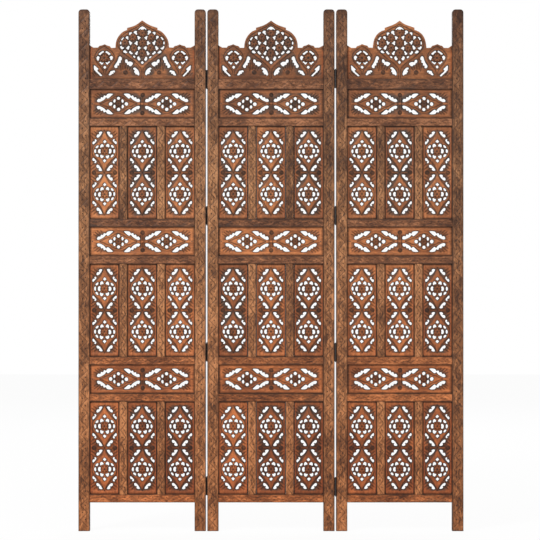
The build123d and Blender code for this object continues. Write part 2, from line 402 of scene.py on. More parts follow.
def carved_board(outline, openings, raised, windows, grooves, rosettes, knots, seen_half, shrink, pitch=2.4):
    """One carved board as points, triangles, depth below the face, darkness from soot and painted shade,
    polish and a painted red-brown shade rim.

    Raised loops stay at the face, and the rest of each window sinks to the ground depth.
    Grooves are (line, half width, depth), rosettes (x, z, radius, petals, gloom), knots (x, z, radius).
    Seen half is half the width and height that show between the bars of the frame, shrink how
    far each opening's edge is drawn in, and pitch the gap between the points in a window.
    """
    openings = [loop - outward(loop) * shrink for loop in openings]
    low, high = outline.min(0), outline.max(0)
    fills = board_points(openings, raised, windows, grooves, [*rosettes, *knots], pitch, low, high)
    flat, faces = cut_face(outline, openings, [line for line, _, _ in grooves], fills)

    to_opening = finder([closed(loop) for loop in openings])(flat)
    within = np.zeros(len(flat))
    for loop in windows:
        within = np.maximum(within, inside(flat, loop) * eased(finder([closed(loop)])(flat) / 3))
    up = np.zeros(len(flat))
    to_raised = finder([closed(loop) for loop in raised])(flat)
    for loop in raised:
        up = np.maximum(up, inside(flat, loop))
    up = np.maximum(up, 1 - eased(to_raised / bank))
    depth = ground_depth * within * (1 - up)
    polish = 1 - 0.8 * within * (1 - up) * fading(to_opening, 15, 11)

    to_frame = np.clip(np.minimum(seen_half[0] - np.abs(flat[:, 0]), seen_half[1] - np.abs(flat[:, 1])), 0, 9)
    # Darkness at each opening's edge, in a halo round it and in the webs is partly soot and partly painted
    # shade; along the frame it is a painted shadow
    dark = fading(to_opening, 2.3, 1.3)
    dark = np.maximum(dark, halo_soot_and_shade * (1 - 0.85 * up) * fading(to_opening, 3.4, 2.2))
    dark = np.maximum(dark, web_soot_and_shade * fading(web_width(flat, openings), 7.4, 1.8))
    dark = np.maximum(dark, painted_frame_shadow * fading(to_frame, 3.4, 2.4))
    for width in sorted({w for _, w, _ in grooves}):
        group = [(line, d) for line, w, d in grooves if w == width]
        away = finder([line for line, _ in group])(flat) / width
        depth += group[0][1] * np.clip(1 - away, 0, 1)
        dark = np.maximum(dark, groove_soot * fading(away, 1.25, 0.75))
    for rosette in rosettes:
        on, form, soot = rosette_cut(flat, *rosette)
        depth, dark = np.where(on, form, depth), np.where(on, soot, dark)
        polish = np.where(on, 1 - rosette[4], polish)
    for knot in knots:
        on, form, soot = knot_cut(flat, *knot)
        depth, dark = np.where(on, form, depth), np.where(on, soot, dark)
    depth += 1.1 * np.clip(1 - to_opening / edge_round, 0, 1) ** 2
    # A painted red-brown shade beside the frame, at the outer side of the painted shadow there
    red_shade_rim = eased(1 - np.abs(to_frame - 4.2) / 2.8)
    return flat, faces, depth, dark, polish, red_shade_rim


def closed_board(flat, faces, depth, half_thickness):
    """The carved face, the same face on the back, and the walls between them."""
    n = len(flat)
    front = np.stack([flat[:, 0], depth - half_thickness, flat[:, 1]], 1)
    a, b = face_edges(faces).T
    walls = np.concatenate([np.stack([b, a, a + n], 1), np.stack([b, a + n, b + n], 1)])
    spots = np.concatenate([front, front * (1, -1, 1)])
    return spots, np.concatenate([faces, faces[:, ::-1] + n, walls])


print("the ground of the carving lies", ground_depth, "mm below the face")

# %% Turn points and triangles into an object
crease, bar_crease = 40, 22


def placed(name, data):
    """A new object in the scene."""
    thing = bpy.data.objects.new(name, data)
    bpy.context.scene.collection.objects.link(thing)
    return thing


def mesh_object(name, spots, polygons, values, flat_sides=False):
    """An object in its place from points in millimetres. Values are one number a point."""
    mesh = bpy.data.meshes.new(name)
    mesh.vertices.add(len(spots))
    mesh.vertices.foreach_set("co", (np.asarray(spots) * MM).astype(np.float32).ravel())
    sizes = np.array([len(p) for p in polygons])
    corners = np.concatenate([np.asarray(p) for p in polygons]).astype(np.int32)
    mesh.loops.add(len(corners))
    mesh.loops.foreach_set("vertex_index", corners)
    mesh.polygons.add(len(sizes))
    mesh.polygons.foreach_set("loop_start", np.concatenate([[0], np.cumsum(sizes)[:-1]]).astype(np.int32))
    mesh.update(calc_edges=True)
    mesh.validate()
    mesh.shade_smooth()
    mesh.set_sharp_from_angle(angle=math.radians(bar_crease if flat_sides else crease))
    if flat_sides:
        facing = np.zeros(len(sizes) * 3, np.float32)
        mesh.polygons.foreach_get("normal", facing)
        mesh.polygons.foreach_set("use_smooth", np.abs(facing[1::3]) > 0.1)
    for key, numbers in values.items():
        numbers = np.asarray(numbers, np.float32)
        mesh.attributes.new(key, "FLOAT", "POINT").data.foreach_set("value", numbers)
    return placed(name, mesh)


def joined(parts):
    """Several (points, polygons, values) as one, each a closed shell of its own."""
    spots, polygons, values, count = [], [], {}, 0
    for points, faces, numbers in parts:
        spots.append(points)
        polygons += [np.asarray(f) + count for f in faces]
        for key, v in numbers.items():
            values.setdefault(key, []).append(v)
        count += len(points)
    return np.concatenate(spots), polygons, {key: np.concatenate(v) for key, v in values.items()}


def rectangle(x0, x1, z0, z1):
    return np.array([(x0, z0), (x1, z0), (x1, z1), (x0, z1)], float)


def sampled(corners, step=5.0):
    """A straight-sided loop with points no further apart than a step."""
    out = []
    for p, q in zip(corners, np.roll(corners, -1, 0)):
        count = max(1, math.ceil(np.linalg.norm(q - p) / step))
        out.append(p + (q - p) * (np.arange(count) / count)[:, None])
    return np.concatenate(out)


print("a loop of 100 by 50 mm takes", len(sampled(rectangle(0, 100, 0, 50))), "points")

# %% [markdown]
# ## The tall jali panels
#
# Two ogee medallions stand one above the other, and their bands cross at mid height.
# Round each six-petalled rosette lie six petal openings, and outside them a ring of
# small cells with a diamond above and below. Two leaf-shaped openings follow each
# quarter of the ogee. Three ribs and a round knot fill each side where the bands cross.
# One quarter is drawn, and mirror images make the rest.

# %% Sizes of the tall panel
panel_low, panel_high = own_box("lower_jali_panels")
panel_half = (panel_high[1] - panel_low[1]) / 2
seat = panel_high[0] - inner_half
bays, mullion_width, end_margin = 3, 26.0, 10.5
bay_width = (2 * inner_half - (bays - 1) * mullion_width) / bays
bay_pitch = bay_width + mullion_width
tall_half = (own_box("lower_band_bottom_rail")[0][2] - own_box("bottom_rail")[1][2]) / 2
medallion_rise = (tall_half - end_margin) / 2
print("a bay is", round(bay_width, 1), "mm wide, and a board goes", round(seat, 1), "mm into its groove")

# %% Openings of the tall panel
def tall_openings():
    """The openings of one medallion, about its middle. A quarter, a side and an end are drawn."""
    quarter = [
        [(6.2, 60.6), (10, 62.8), (15.2, 62), (18.8, 58.8), (18, 54.4, 1), (23.4, 53.2), (26.2, 49.1),
         (26.4, 44.7), (23.2, 42.2), (18.8, 43.4), (14.4, 47.2), (10.6, 51.8), (7.8, 56.4)],
        [(25.2, 33.2), (26.2, 37.2), (30, 39), (32.9, 36.2), (31.8, 32.4, 1), (36.3, 31.6), (38.9, 27.6),
         (38.6, 22.9), (35.6, 20.8), (31.6, 23.8), (28, 28.4)],
        [(2.1, 16.4), (4.3, 21.2), (8.5, 24.1), (12.9, 22.3), (15, 18.2), (14.8, 13.2), (12, 10.4),
         (9, 11.9, 1), (6.2, 13.4), (3.1, 14.2)],
        [(19, 19.2), (23.2, 19.6), (27.6, 16), (29.6, 11.8), (27.4, 9.2), (23, 9.2), (19.8, 12),
         (18.4, 15.8)],
    ]
    sides = [
        [(11.2, 5.2), (13.8, 7.9), (18, 7.6), (21.3, 3.8), (21.3, -3.8), (18, -7.6), (13.8, -7.9),
         (11.2, -5.2), (12.2, 0)],
        [(26.2, 4.6), (28.2, 7.2), (31.6, 6.4), (33.8, 2.4), (33.8, -2.4), (31.6, -6.4), (28.2, -7.2),
         (26.2, -4.6), (25.6, 0)],
    ]
    ends = [[(0, 37.2), (3.6, 33.8), (6.6, 30.4), (3.6, 27), (0, 24.6), (-3.6, 27), (-6.6, 30.4),
             (-3.6, 33.8)]]
    quarter = [notched(points, 0.7) for points in quarter]
    quarter, sides, ends = ([smooth(points, 1.3) for points in part] for part in (quarter, sides, ends))
    return mirrored(quarter, up=True) + mirrored(sides) + mirrored(ends, across=False, up=True)


print("one ogee medallion has", len(tall_openings()), "openings")

# %% Carve the tall panel
gouge, chisel = (1.7, 1.2), (1.3, 1.2)  # half width and depth of the groove that each tool cuts
ogee_side = [
    (6.8, 52), (9.9, 45.8), (13.9, 40), (17.9, 35), (21.4, 29.6), (25.2, 25.2), (30.2, 21.2), (35, 16),
    (37.6, 8.6), (38.2, 0),
]
ogee_tip = [(0, 66.6, 1), (1.5, 62.6), (4, 57.6)]
ogee_neck = [(0.9, 67.6, 1), (2.1, 62.9), (3.9, 57.2)]


def ogee():
    """A closed medallion outline, with a tip above and a neck below."""
    above = ogee_tip + ogee_side
    below = [(x, -z, *c) for x, z, *c in (ogee_neck + ogee_side[:-1])[::-1]]
    left = [(-x, z, *c) for x, z, *c in (above[1:] + below)[::-1]]
    return smooth(above + below + left, 2.0)


def open_lines(lines, step=2.0):
    return [smooth(line, step, closed=False) for line in lines]


def seated(half_x, half_z):
    """The outline of a board whose edges go into the grooves beside what shows."""
    reach_x, reach_z = half_x + seat, half_z + seat
    return sampled(rectangle(-reach_x, reach_x, -reach_z, reach_z), 6.0)


def tall_carving():
    openings, raised, grooves, rosettes = [], [], [], []
    for way in (1, -1):
        z = way * medallion_rise
        openings += moved(tall_openings(), z=z)
        raised.append(ogee() * (1, way) + (0, z))
        rosettes.append((0, z, 11.5, 6, 0.1))
        above, below = open_lines([ogee_tip + ogee_side, ogee_neck + ogee_side])
        lines = [above * (1, way), below * (1, -way)]
        grooves += [(line, *gouge) for line in moved(mirrored(lines), z=z)]
        fans = open_lines([[(23.4, 54.6), (33, 62.4)], [(28.6, 48.4), (40, 56.6)], [(34, 40.6), (41, 47)]])
        grooves += [(line, *chisel) for line in moved(mirrored(fans, up=True), z=z)]
    ribs = open_lines([[(9, 2.4), (25.5, 2.4)], [(15, 6.6), (27, 6.6)]])
    grooves += [(line, 1.0, 1.0) for line in mirrored(ribs, up=True)]
    raised += [rectangle(side * 16 - 8, side * 16 + 8, -1.6, 1.6) for side in (-1, 1)]
    knots = [(side * 32.6, 0, 7.4) for side in (-1, 1)]
    windows = [sampled(rectangle(-41.5, 41.5, -tall_half + 9.5, tall_half - 9.5), 3.0)]
    seen_half = (bay_width / 2, tall_half)
    return carved_board(seated(*seen_half), openings, raised, windows, grooves, rosettes, knots, seen_half,
                        shrink=0.75, pitch=2.3)


tall = tall_carving()
print("tall panel:", len(tall[0]), "points and", len(tall[1]), "triangles on a face")

# %% [markdown]
# ## The band panels
#
# Each band has two pointed medallions side by side. Eight round holes stand in a diamond
# round a dark rosette, and long leaf-shaped openings follow the medallion's four sides.
# Their outer edges are cut in a row of scallops and the inner ones have one notch.
# Between the medallions stand two round buds with upright ribs. A plain raised strip
# runs along the top and the bottom.

# %% Openings of the band panel
band_half = (own_box("lower_band_top_rail")[0][2] - own_box("lower_band_bottom_rail")[1][2]) / 2
motif_centres = (-75.0, 76.5)


def band_openings():
    """The openings of one pointed medallion, about its middle."""
    quarter = [
        [(17.4, 31.4), (22, 32.8), (29.6, 32.6), (35.4, 31), (40, 26.6, 1), (45.6, 26.8), (49.4, 21.6, 1),
         (54.6, 21.6), (58, 16.6, 1), (63.4, 16), (67.4, 11.4), (67.4, 7.4), (64, 5.6), (58, 6.6),
         (51, 9.8), (44, 14.6), (38.4, 20.2, 1), (34.4, 17.4), (30, 19.2), (23.6, 24.8)],
        [(9, 9.6), (9.8, 5.2), (12.4, 2.6), (15.4, 4.4), (17, 8.6), (15.4, 12.6), (12, 14.8), (9.6, 13)],
    ]
    quarter = [smooth(notched(points, 1.3), 1.2) for points in quarter]
    return (
        mirrored(quarter, up=True)
        + mirrored([oval(24.6, 0, 5.9, 6.2)])
        + mirrored([oval(0, 17.2, 5.4, 5.5)], across=False, up=True)
    )


print("one pointed medallion has", len(band_openings()), "openings")

# %% Carve the band panel
pointed_edge = [
    (0, 29.2), (8, 27.6), (16, 24.2), (22.4, 20.2), (27.6, 16.4), (32.6, 15.3), (37.6, 15.2), (42.4, 12.2),
    (48, 9.0), (54, 6.4), (60, 4.7), (66, 3.6), (71, 2.5), (77, 2.0, 1),
]
pointed_line = [
    (0, 24.8), (7, 23.2), (13.6, 20.2), (20, 16), (26.4, 11.9), (33, 10.6), (39, 8.6), (45, 5.6), (51, 3.2),
    (58, 1.2),
]


def band_carving():
    openings, raised, grooves, rosettes = [], [], [], []
    for x in motif_centres:
        openings += moved(band_openings(), x=x)
        upper = pointed_edge[::-1] + [(-a, z, *c) for a, z, *c in pointed_edge[1:]]
        raised.append(smooth(upper + [(a, -z, *c) for a, z, *c in upper[::-1]], 2.0) + (x, 0))
        rosettes.append((x, 0, 10.0, 8, 0.5))
        lines = mirrored(open_lines([pointed_line], 2.2), up=True)
        grooves += [(line, *gouge) for line in moved(lines, x=x)]
    fans = [[(133, 26), (141.5, 33)], [(138, 21), (149, 29.5)], [(142, 16), (152, 22)], [(127, 29),
                                                                                         (131, 34)]]
    ribs = [[(a, -19), (a, 19)] for a in (-5.6, 5.6)] + [[(0, 4), (0, 19)], [(0, -4), (0, -19)]]
    grooves += [(line, 1.4, 1.2) for line in mirrored(open_lines(fans), up=True) + open_lines(ribs)]
    knots = [(1, side * 27.5, 7.2) for side in (-1, 1)]
    windows = [sampled(rectangle(-154, 154, -35.5, 35.5), 3.0)]
    seen_half = (inner_half, band_half)
    return carved_board(seated(*seen_half), openings, raised, windows, grooves, rosettes, knots, seen_half,
                        shrink=0.15)


band = band_carving()
print("band panel:", len(band[0]), "points and", len(band[1]), "triangles on a face")

# %% [markdown]
# ## The crest panel
#
# The crest rises in a bulb with an ogee peak between two small stepped arches. Its
# middle is a heart-shaped field of rosettes on a triangular grid, with one small opening
# between each three. A drop-shaped medallion stands under each arch. The leaves under
# the field are cut round a bud with fanning ribs.

# %% Openings of the crest panel
crest_base = own_box("crest_rail")[1][2]
field_rise, drop_x, drop_rise = 114.0, 118, 66.5

crest_half_edge = [
    (inner_half + seat, 105.8, 1), (inner_half, 105.8, 1), (158.5, 101.5), (152.5, 98, 1), (138.5, 98, 1),
    (136, 101.5), (133.5, 103.8, 1), (126, 105.5), (118, 109, 1), (110, 105.5), (102.5, 103.8, 1),
    (100, 101.5), (97.5, 98, 1), (84, 98, 1), (83.6, 108), (82, 118), (78.5, 128), (73, 136.5),
    (65.5, 144.5), (57, 150.5), (47.2, 154.2, 1), (47.2, 160.8, 1), (37, 164), (24, 168.4), (13, 174),
    (5, 180), (0, 183.9, 1),
]


def crest_openings():
    """The crest's openings, about its middle and its base. The right half is drawn."""
    serrated = [
        [(68, 70.6), (71.6, 71.6), (74.6, 69.4), (77, 62), (80.5, 54), (85, 47), (88.6, 41), (87, 36),
         (83, 34), (78.8, 35.4), (77.2, 41.2, 1), (73.4, 43), (71.8, 49.4, 1), (68.2, 51.6),
         (67.2, 57.4, 1), (65, 61), (65.2, 67)],
        [(50, 61.6), (53.6, 61.6), (55.2, 58), (53.8, 51.6), (50.4, 48.2, 1), (47.8, 43.6), (43.8, 42.8, 1),
         (41, 40.2), (36.4, 39.8), (31.4, 44), (29.4, 48.6), (33, 52.6), (39, 54.6), (44.6, 55.4, 1),
         (47, 59.2)],
        [(27.6, 36), (29.6, 32.4), (25.4, 27.8, 1), (26.2, 22.6), (23.4, 18.4, 1), (21.6, 15.4),
         (16.6, 13, 1), (12, 10.6), (8.8, 13.6), (9.4, 20), (12.4, 27), (17.8, 33), (23.4, 36.6)],
        [(88.6, 27.8), (94, 26.8), (100.6, 25.2), (103.2, 20), (106.8, 14), (105, 11.4), (99, 12.6),
         (94.6, 15, 1), (91, 16.4), (90.2, 20, 1), (87, 20.6), (85.6, 24)],
        [(150.6, 43.2), (153, 42), (152.6, 35), (151.4, 28), (149.2, 24.4, 1), (146, 21.4),
         (143.2, 17.6, 1), (139.6, 15.2), (137.4, 12, 1), (133.6, 9.2), (129.6, 7.8), (127, 10),
         (132, 16.2), (138.6, 22.4), (139.8, 27.2, 1), (137.4, 30.4), (143, 36.8)],
    ]
    drop = [
        [(4.4, 23), (9, 21.2), (14.6, 17.2), (19.2, 12.8), (16.6, 9.8), (12.6, 9.4), (10, 12.4),
         (6.4, 15.4), (2.8, 17.4), (2.6, 21.4)],
        [(21, 7.2), (25, 4.6), (26.2, -0.4), (23.8, -6), (20.6, -8.2), (17.8, -5.6), (17.4, -2),
         (15.2, 1.6), (16, 4)],
        [(2.8, -13.8), (4.6, -18.2), (8.8, -21.8), (13.2, -17.6), (17.4, -13.8), (15, -10.6), (11, -12.2),
         (8.6, -14.2), (5.6, -13.4)],
    ]
    drop = [smooth(points, 1.3) for points in drop]
    drop = mirrored(drop) + [oval(0, -29.3, 5.2, 5.6, 14, 1.35)]
    field = [
        [(19, 38.8), (24.4, 37.8), (27, 33.4), (25.4, 29.8), (22, 28.4), (19.4, 25), (15.8, 25.4),
         (16, 29.4), (17.4, 31.6), (15.8, 35)],
        [(31.2, 32.6), (35.4, 34.2), (40.6, 32.8), (41.2, 29), (39.8, 24.4), (37, 23.6), (35.6, 26.6),
         (32.4, 29.2)],
        [(45.8, 21.4), (49.6, 21.2), (51.8, 18), (50.6, 14.4), (47, 12), (44.4, 9.8), (42.2, 11.4),
         (43.6, 15), (42.4, 18.8)],
        [(56.8, 17), (59.4, 19), (62.6, 17), (66.8, 11.6), (66.2, 8.8), (62, 8.8), (60.4, 12)],
        [(68.4, 5.4), (71, 0), (69.6, -5.2), (66.4, -5.2), (65.8, 0), (66.4, 3.8)],
        [(66, -9.6), (69.8, -11.4), (69.2, -16), (66.6, -20.6), (63, -22.2), (60, -19.8), (57.2, -17.6),
         (58, -15), (62, -14.4), (64.2, -12.4)],
        [(52, -25.2), (57, -23.8), (60.8, -27), (59.2, -31.2), (54, -33.8), (49.4, -33.2), (47.6, -30),
         (50.4, -28.2)],
        [(43.4, -8.8), (46.6, -11), (49.6, -14.4), (51.8, -16.6), (49, -20.2), (45.4, -22.8), (42.6, -20),
         (41.4, -16.4), (40.2, -12.4), (40.8, -9.4)],
        [(38, -25.2), (42.2, -26.8), (43, -30.6), (39.6, -34.2), (36, -37.2), (32.2, -36.2), (30.8, -33),
         (33, -30.8), (35.4, -29.4)],
        [(39, 7.2), (42.2, 4.6), (40.8, 0.4), (39.8, -4.2), (38, -7.2), (34.8, -5.4), (33, -2.4),
         (30.8, -0.8), (32, 1.8), (35.6, 3.2)],
        [(16, 5.8), (19.2, 5.6), (21, 2), (25.8, -0.6), (24.2, -3.2), (20.6, -5.2), (17.4, -7.8),
         (14.4, -6.2), (15, -2), (14.4, 2.8)],
        [(13.6, 22.2), (16.2, 20.6), (15, 17), (14.4, 12.4), (12, 8.8), (9.4, 11.4), (6.4, 15), (4.8, 16.6),
         (8, 19.2), (11, 20.8)],
        [(10.6, -11.2), (14.2, -12.4), (14.6, -16), (13.8, -20), (11.6, -23.8), (8.4, -20.6), (5.4, -18.6),
         (3.4, -16.6), (6.4, -14.2)],
        [(15.4, -25.8), (18.9, -27.4), (21, -30.4), (24, -32.6), (22.8, -36.2), (18.8, -39), (15.6, -37.2),
         (15.4, -33.6), (13.6, -30), (13.4, -26.8)],
        [(12, -42.3), (15.8, -44.4), (16.4, -49), (14, -54.2), (10.4, -56.2), (6.8, -53.4), (5.8, -50),
         (8.4, -47), (9.4, -43.8)],
        [(24, -42.2), (28, -40.8), (30.2, -42.8), (28.6, -46.2), (25, -48.8), (22.2, -47), (22.2, -44.4)],
    ]
    right = [smooth(notched(points, 1.5), 1.2) for points in serrated] + moved(drop, drop_x, drop_rise)
    right += moved([smooth(points, 1.3) for points in field], z=field_rise)
    peak = [(0, 51.8, 1), (7, 48.4), (13.8, 41, 1), (9.4, 40.6), (6, 43), (3.2, 40.6)]
    peak = smooth(peak + [(0, 41)] + [(-x, z, *c) for x, z, *c in peak[:0:-1]], 1.3)
    return mirrored(right) + moved([peak, oval(0, -61.4, 4.9, 5.3, 14, 1.4)], z=field_rise)


print("the crest has", len(crest_openings()), "openings")

# %% Carve the crest panel
field_edge = [
    (0, 52.5, 1), (10, 45.5), (24, 38.4), (40, 30.4), (54, 22), (65, 12), (71.4, 0), (69.4, -12), (60, -25),
    (44, -38), (26, -52), (10, -65), (0, -73, 1),
]
field_line = [
    (0, 59.5), (11, 51.6), (26, 44.2), (42, 36), (57, 27), (69, 15.5), (76.6, 0), (74.6, -14.5),
    (64, -29.5), (47, -43.6), (28, -58), (12, -72), (3.4, -84), (3.0, -110),
]
drop_line = [
    (0, 36.5), (12, 29), (23, 19.5), (29.6, 8), (30.4, 0), (26, -11), (17.5, -22), (9.6, -33), (4, -42),
    (2, -52),
]
low_edge = [
    (8, 9, 1), (150, 9, 1), (156, 20), (156, 46), (122, 13, 1), (112, 16), (98, 34), (84, 60), (72, 84),
    (60, 82), (40, 66), (24, 51), (10, 36), (5, 20),
]
crest_fans = [
    [(47.6, 29), (45, 38)], [(52.6, 30), (53, 44)], [(57.4, 30), (58.6, 66)], [(62.6, 29), (63.6, 50)],
    [(66, 26), (69.4, 42)], [(42, 27), (37, 35)], [(143, 10), (151, 22)], [(149, 8), (158, 18)],
    [(136, 6.5), (140, 11)],
]
middle_rosettes = [(0, -0.6), (0, 30.6), (0, -32.6)]
side_rosettes = [(28.2, 17.2), (26, -16.4), (54, 1)]
foot_shade = 0.32


def crest_carving():
    right = [(inner_half + seat, -seat, 1)] + crest_half_edge
    outline = smooth(right + [(-x, z, *c) for x, z, *c in right[-2::-1]], 3.0)
    lines = open_lines([[(x, z + field_rise) for x, z in field_line]], 2.4)
    lines += moved(mirrored(open_lines([drop_line], 2.2)), drop_x, drop_rise)
    grooves = [(line, *gouge) for line in mirrored(lines)]
    grooves += [(line, 1.5, 1.3) for line in mirrored(open_lines(crest_fans))]
    knots = [(side * 52.5, 20.5, 7.2) for side in (-1, 1)]
    places = middle_rosettes + [(side * x, z) for side in (-1, 1) for x, z in side_rosettes]
    rosettes = [(x, field_rise + z, 11.6, 7, 0.25) for x, z in places]
    rosettes += [(side * drop_x, drop_rise, 13.6, 8, 0.1) for side in (-1, 1)]

    # The field's webs lie low, and so does the ground under it and beside the medallions
    field = field_edge + [(-x, z, *c) for x, z, *c in field_edge[-2:0:-1]]
    field = smooth([(x, z + field_rise, *c) for x, z, *c in field], 2.0)
    low_ground = smooth(low_edge, 2.4)
    windows = [field, low_ground, low_ground * (-1, 1)]
    speck = np.array([(0.0, 5.0), (1.0, 5.0), (0.5, 6.0)])  # the one raised loop, at the plain foot
    seen_half = (inner_half, 400)  # no bar above the crest
    flat, faces, depth, dark, polish, red_shade_rim = carved_board(
        outline, crest_openings(), [speck], windows, grooves, rosettes, knots, seen_half, shrink=0.35)
    # Painted shade on the crest's foot, just above the crest rail
    dark = np.maximum(dark, foot_shade * fading(flat[:, 1], 27, 12))
    return flat, faces, depth, dark, polish, red_shade_rim


crest = crest_carving()
print("crest panel:", len(crest[0]), "points and", len(crest[1]), "triangles on a face")

# %% [markdown]
# ## The frame
#
# Stiles, rails and mullions are straight bars with rounded edges. A zigzag line is
# engraved along each face, with a small drilled dot in every bend. The face is
# triangulated like a board's, but its walls also have the groove that holds the panels.

# %% Walls of a bar
groove_half, groove_depth = 5.2, 8.0


def bar_walls(flat, faces, depth, half_thickness, runs):
    """A bar's points and polygons. Runs are (start, end, inward, ends open) of the grooves in its edge."""
    n = len(flat)
    front = np.stack([flat[:, 0], depth - half_thickness, flat[:, 1]], 1)
    spots = [front, front * (1, -1, 1)]
    count = 2 * n
    pairs = face_edges(faces)
    rim = np.unique(pairs)
    notch = []
    for start, end, inward, _ in runs:
        start, end, inward = np.array(start), np.array(end), np.array(inward, float)
        way = end - start
        t = (flat[rim] - start) @ way / (way @ way)
        off = np.linalg.norm(flat[rim] - start - t[:, None] * way, axis=1)
        found = {}
        for v in rim[(off < 0.01) & (t > -1e-5) & (t < 1 + 1e-5)]:
            x, z = flat[v]
            deep_x, deep_z = flat[v] + inward * groove_depth
            spots.append(np.array([
                (x, -groove_half, z), (deep_x, -groove_half, deep_z),
                (deep_x, groove_half, deep_z), (x, groove_half, z),
            ]))
            found[int(v)] = [count, count + 1, count + 2, count + 3]
            count += 4
        notch.append(found)
    polygons = [f for f in faces] + [f for f in faces[:, ::-1] + n]

    def chain(v):
        for found, (_, _, _, ends_open) in zip(notch, runs):
            if v in found:
                p, q, r, s = found[v]
                return [v, p, q, r, s, v + n] if ends_open else [v, p, s, v + n]
        return [v, v + n]

    grooved_from, grooved_to = {}, {}
    for a, b in pairs.tolist():
        shared = next((found for found in notch if a in found and b in found), None)
        if shared is None:
            polygons.append(chain(a) + chain(b)[::-1])
            continue
        ca, cb = [a, *shared[a], a + n], [b, *shared[b], b + n]
        polygons += [[ca[k], ca[k + 1], cb[k + 1], cb[k]] for k in range(5)]
        grooved_from[a], grooved_to[b] = shared, shared
    for found, (_, _, _, ends_open) in zip(notch, runs):
        if not ends_open:
            for v, (p, q, r, s) in found.items():
                if v not in grooved_to:
                    polygons.append([p, s, r, q])
                if v not in grooved_from:
                    polygons.append([p, q, r, s])
    return np.concatenate(spots), polygons


print("the frame's grooves are", 2 * groove_half, "mm wide and", groove_depth, "mm deep")

# %% Engraved faces
bend, zigzag_share, dot_share = 22.5, 0.31, 0.13
line_half, line_depth, dot_radius, dot_depth = 1.6, 0.55, 2.7, 1.5
round_insets, bar_pitch = (0.12, 0.45, 1.0, 1.6), 9
# The bars get painted shade along their rounded edges and inside their hidden panel grooves
edge_width, edge_shade_width, hidden_groove_shade = 7, 2.8, 0.7


def engraving(x0, x1, z0, z1):
    """A zigzag line along the longer side of a rectangle, and a dot in each bend."""
    upright = z1 - z0 > x1 - x0
    length, width = (z1 - z0, x1 - x0) if upright else (x1 - x0, z1 - z0)
    count = max(2, round(length / bend))
    steps = np.arange(count + 1) / count * length
    side = np.where(np.arange(count + 1) % 2 == 0, 1, -1)
    line = np.stack([side * zigzag_share * width, steps], 1)
    dots = np.stack([-side * dot_share * width, steps], 1)[1:-1]
    line = line + ((x0 + x1) / 2, z0) if upright else line[:, ::-1] + (x0, (z0 + z1) / 2)
    dots = dots + ((x0 + x1) / 2, z0) if upright else dots[:, ::-1] + (x0, (z0 + z1) / 2)
    return smooth([(*p, 1) for p in line], 3.2, closed=False), dots


def engraved_bar(outline, engraved, half_thickness, radius, rounded, runs=(), stain=1.0):
    """One bar. Its face is rounded over beside the rounded lines, and engraved in a rectangle."""
    line, dots = engraving(*engraved)
    banks = np.concatenate([line + side * line_half * line_side(line) for side in (-1, 1)])
    rings = np.concatenate([around(x, z, (1.3, dot_radius)) for x, z in dots])
    rows = []
    for edge in rounded:
        edge = np.array(edge, float)
        dense = smooth([(*p, 1) for p in edge], 5.0, closed=False)
        for inset in round_insets:
            for side in (-1, 1):
                rows.append(dense + side * inset * radius * line_side(dense))
    rows = np.concatenate(rows)
    rows = rows[inside(rows, outline)]
    coarse = honeycomb(outline.min(0), outline.max(0), bar_pitch)
    fills = [(rings, 0.7), (banks, 0.9), (rows, 0.22 * radius), (coarse, 4.0)]
    flat, faces = cut_face(outline, [], [line], fills)
    to_edge = finder([np.array(edge, float) for edge in rounded], 1.0)(flat)
    inset = np.clip(radius - to_edge, 0, radius)
    depth = radius - np.sqrt(np.maximum(radius**2 - inset**2, 0))
    to_line = finder([line])(flat)
    groove = np.clip(1 - to_line / line_half, 0, 1)
    pit = np.zeros(len(flat))
    for x, z in dots:
        pit = np.maximum(pit, np.clip(1 - np.hypot(flat[:, 0] - x, flat[:, 1] - z) / dot_radius, 0, 1))
    depth = depth + line_depth * groove + dot_depth * pit
    spots, polygons = bar_walls(flat, faces, depth, half_thickness, runs)
    extra = len(spots) - 2 * len(flat)
    dark = stain * np.maximum(0.9 * eased(groove * 2.3), np.clip(3.2 * pit, 0, 0.97))
    # Painted shade along the bar's rounded edges, and inside its panel grooves
    dark = np.maximum(dark, 0.8 * eased(1 - to_edge / edge_shade_width))
    dark = np.concatenate([np.tile(dark, 2), np.full(extra, hidden_groove_shade)])
    edge = np.concatenate([np.tile(eased(1 - to_edge / edge_width), 2), np.zeros(extra)])
    return spots, polygons, {"dark": dark, "edge": edge}


def block(x0, x1, y0, y1, z0, z1):
    """A plain closed box, for the hidden tongues."""
    spots = np.array([(x, y, z) for x in (x0, x1) for y in (y0, y1) for z in (z0, z1)], float)
    sides = [(0, 1, 3, 2), (4, 6, 7, 5), (0, 4, 5, 1), (2, 3, 7, 6), (0, 2, 6, 4), (1, 5, 7, 3)]
    # The hidden tongues carry the same painted shade as the insides of the grooves
    return spots, [list(s) for s in sides], {"dark": np.full(8, hidden_groove_shade), "edge": np.zeros(8)}


print("an engraved line bends every", bend, "mm")

# %% The six kinds of bar
bar_step, stile_round, top_radius = 9.0, 2.4, 10.0
crest_groove, plain_foot, plain_top = 106.2, 14, 16
rail_round, rail_steps, rail_stain = 1.8, 36, 0.55
mullion_round = 4.5
tongue_half, tongue_inset, tongue_lap = 5, 8, 0.5


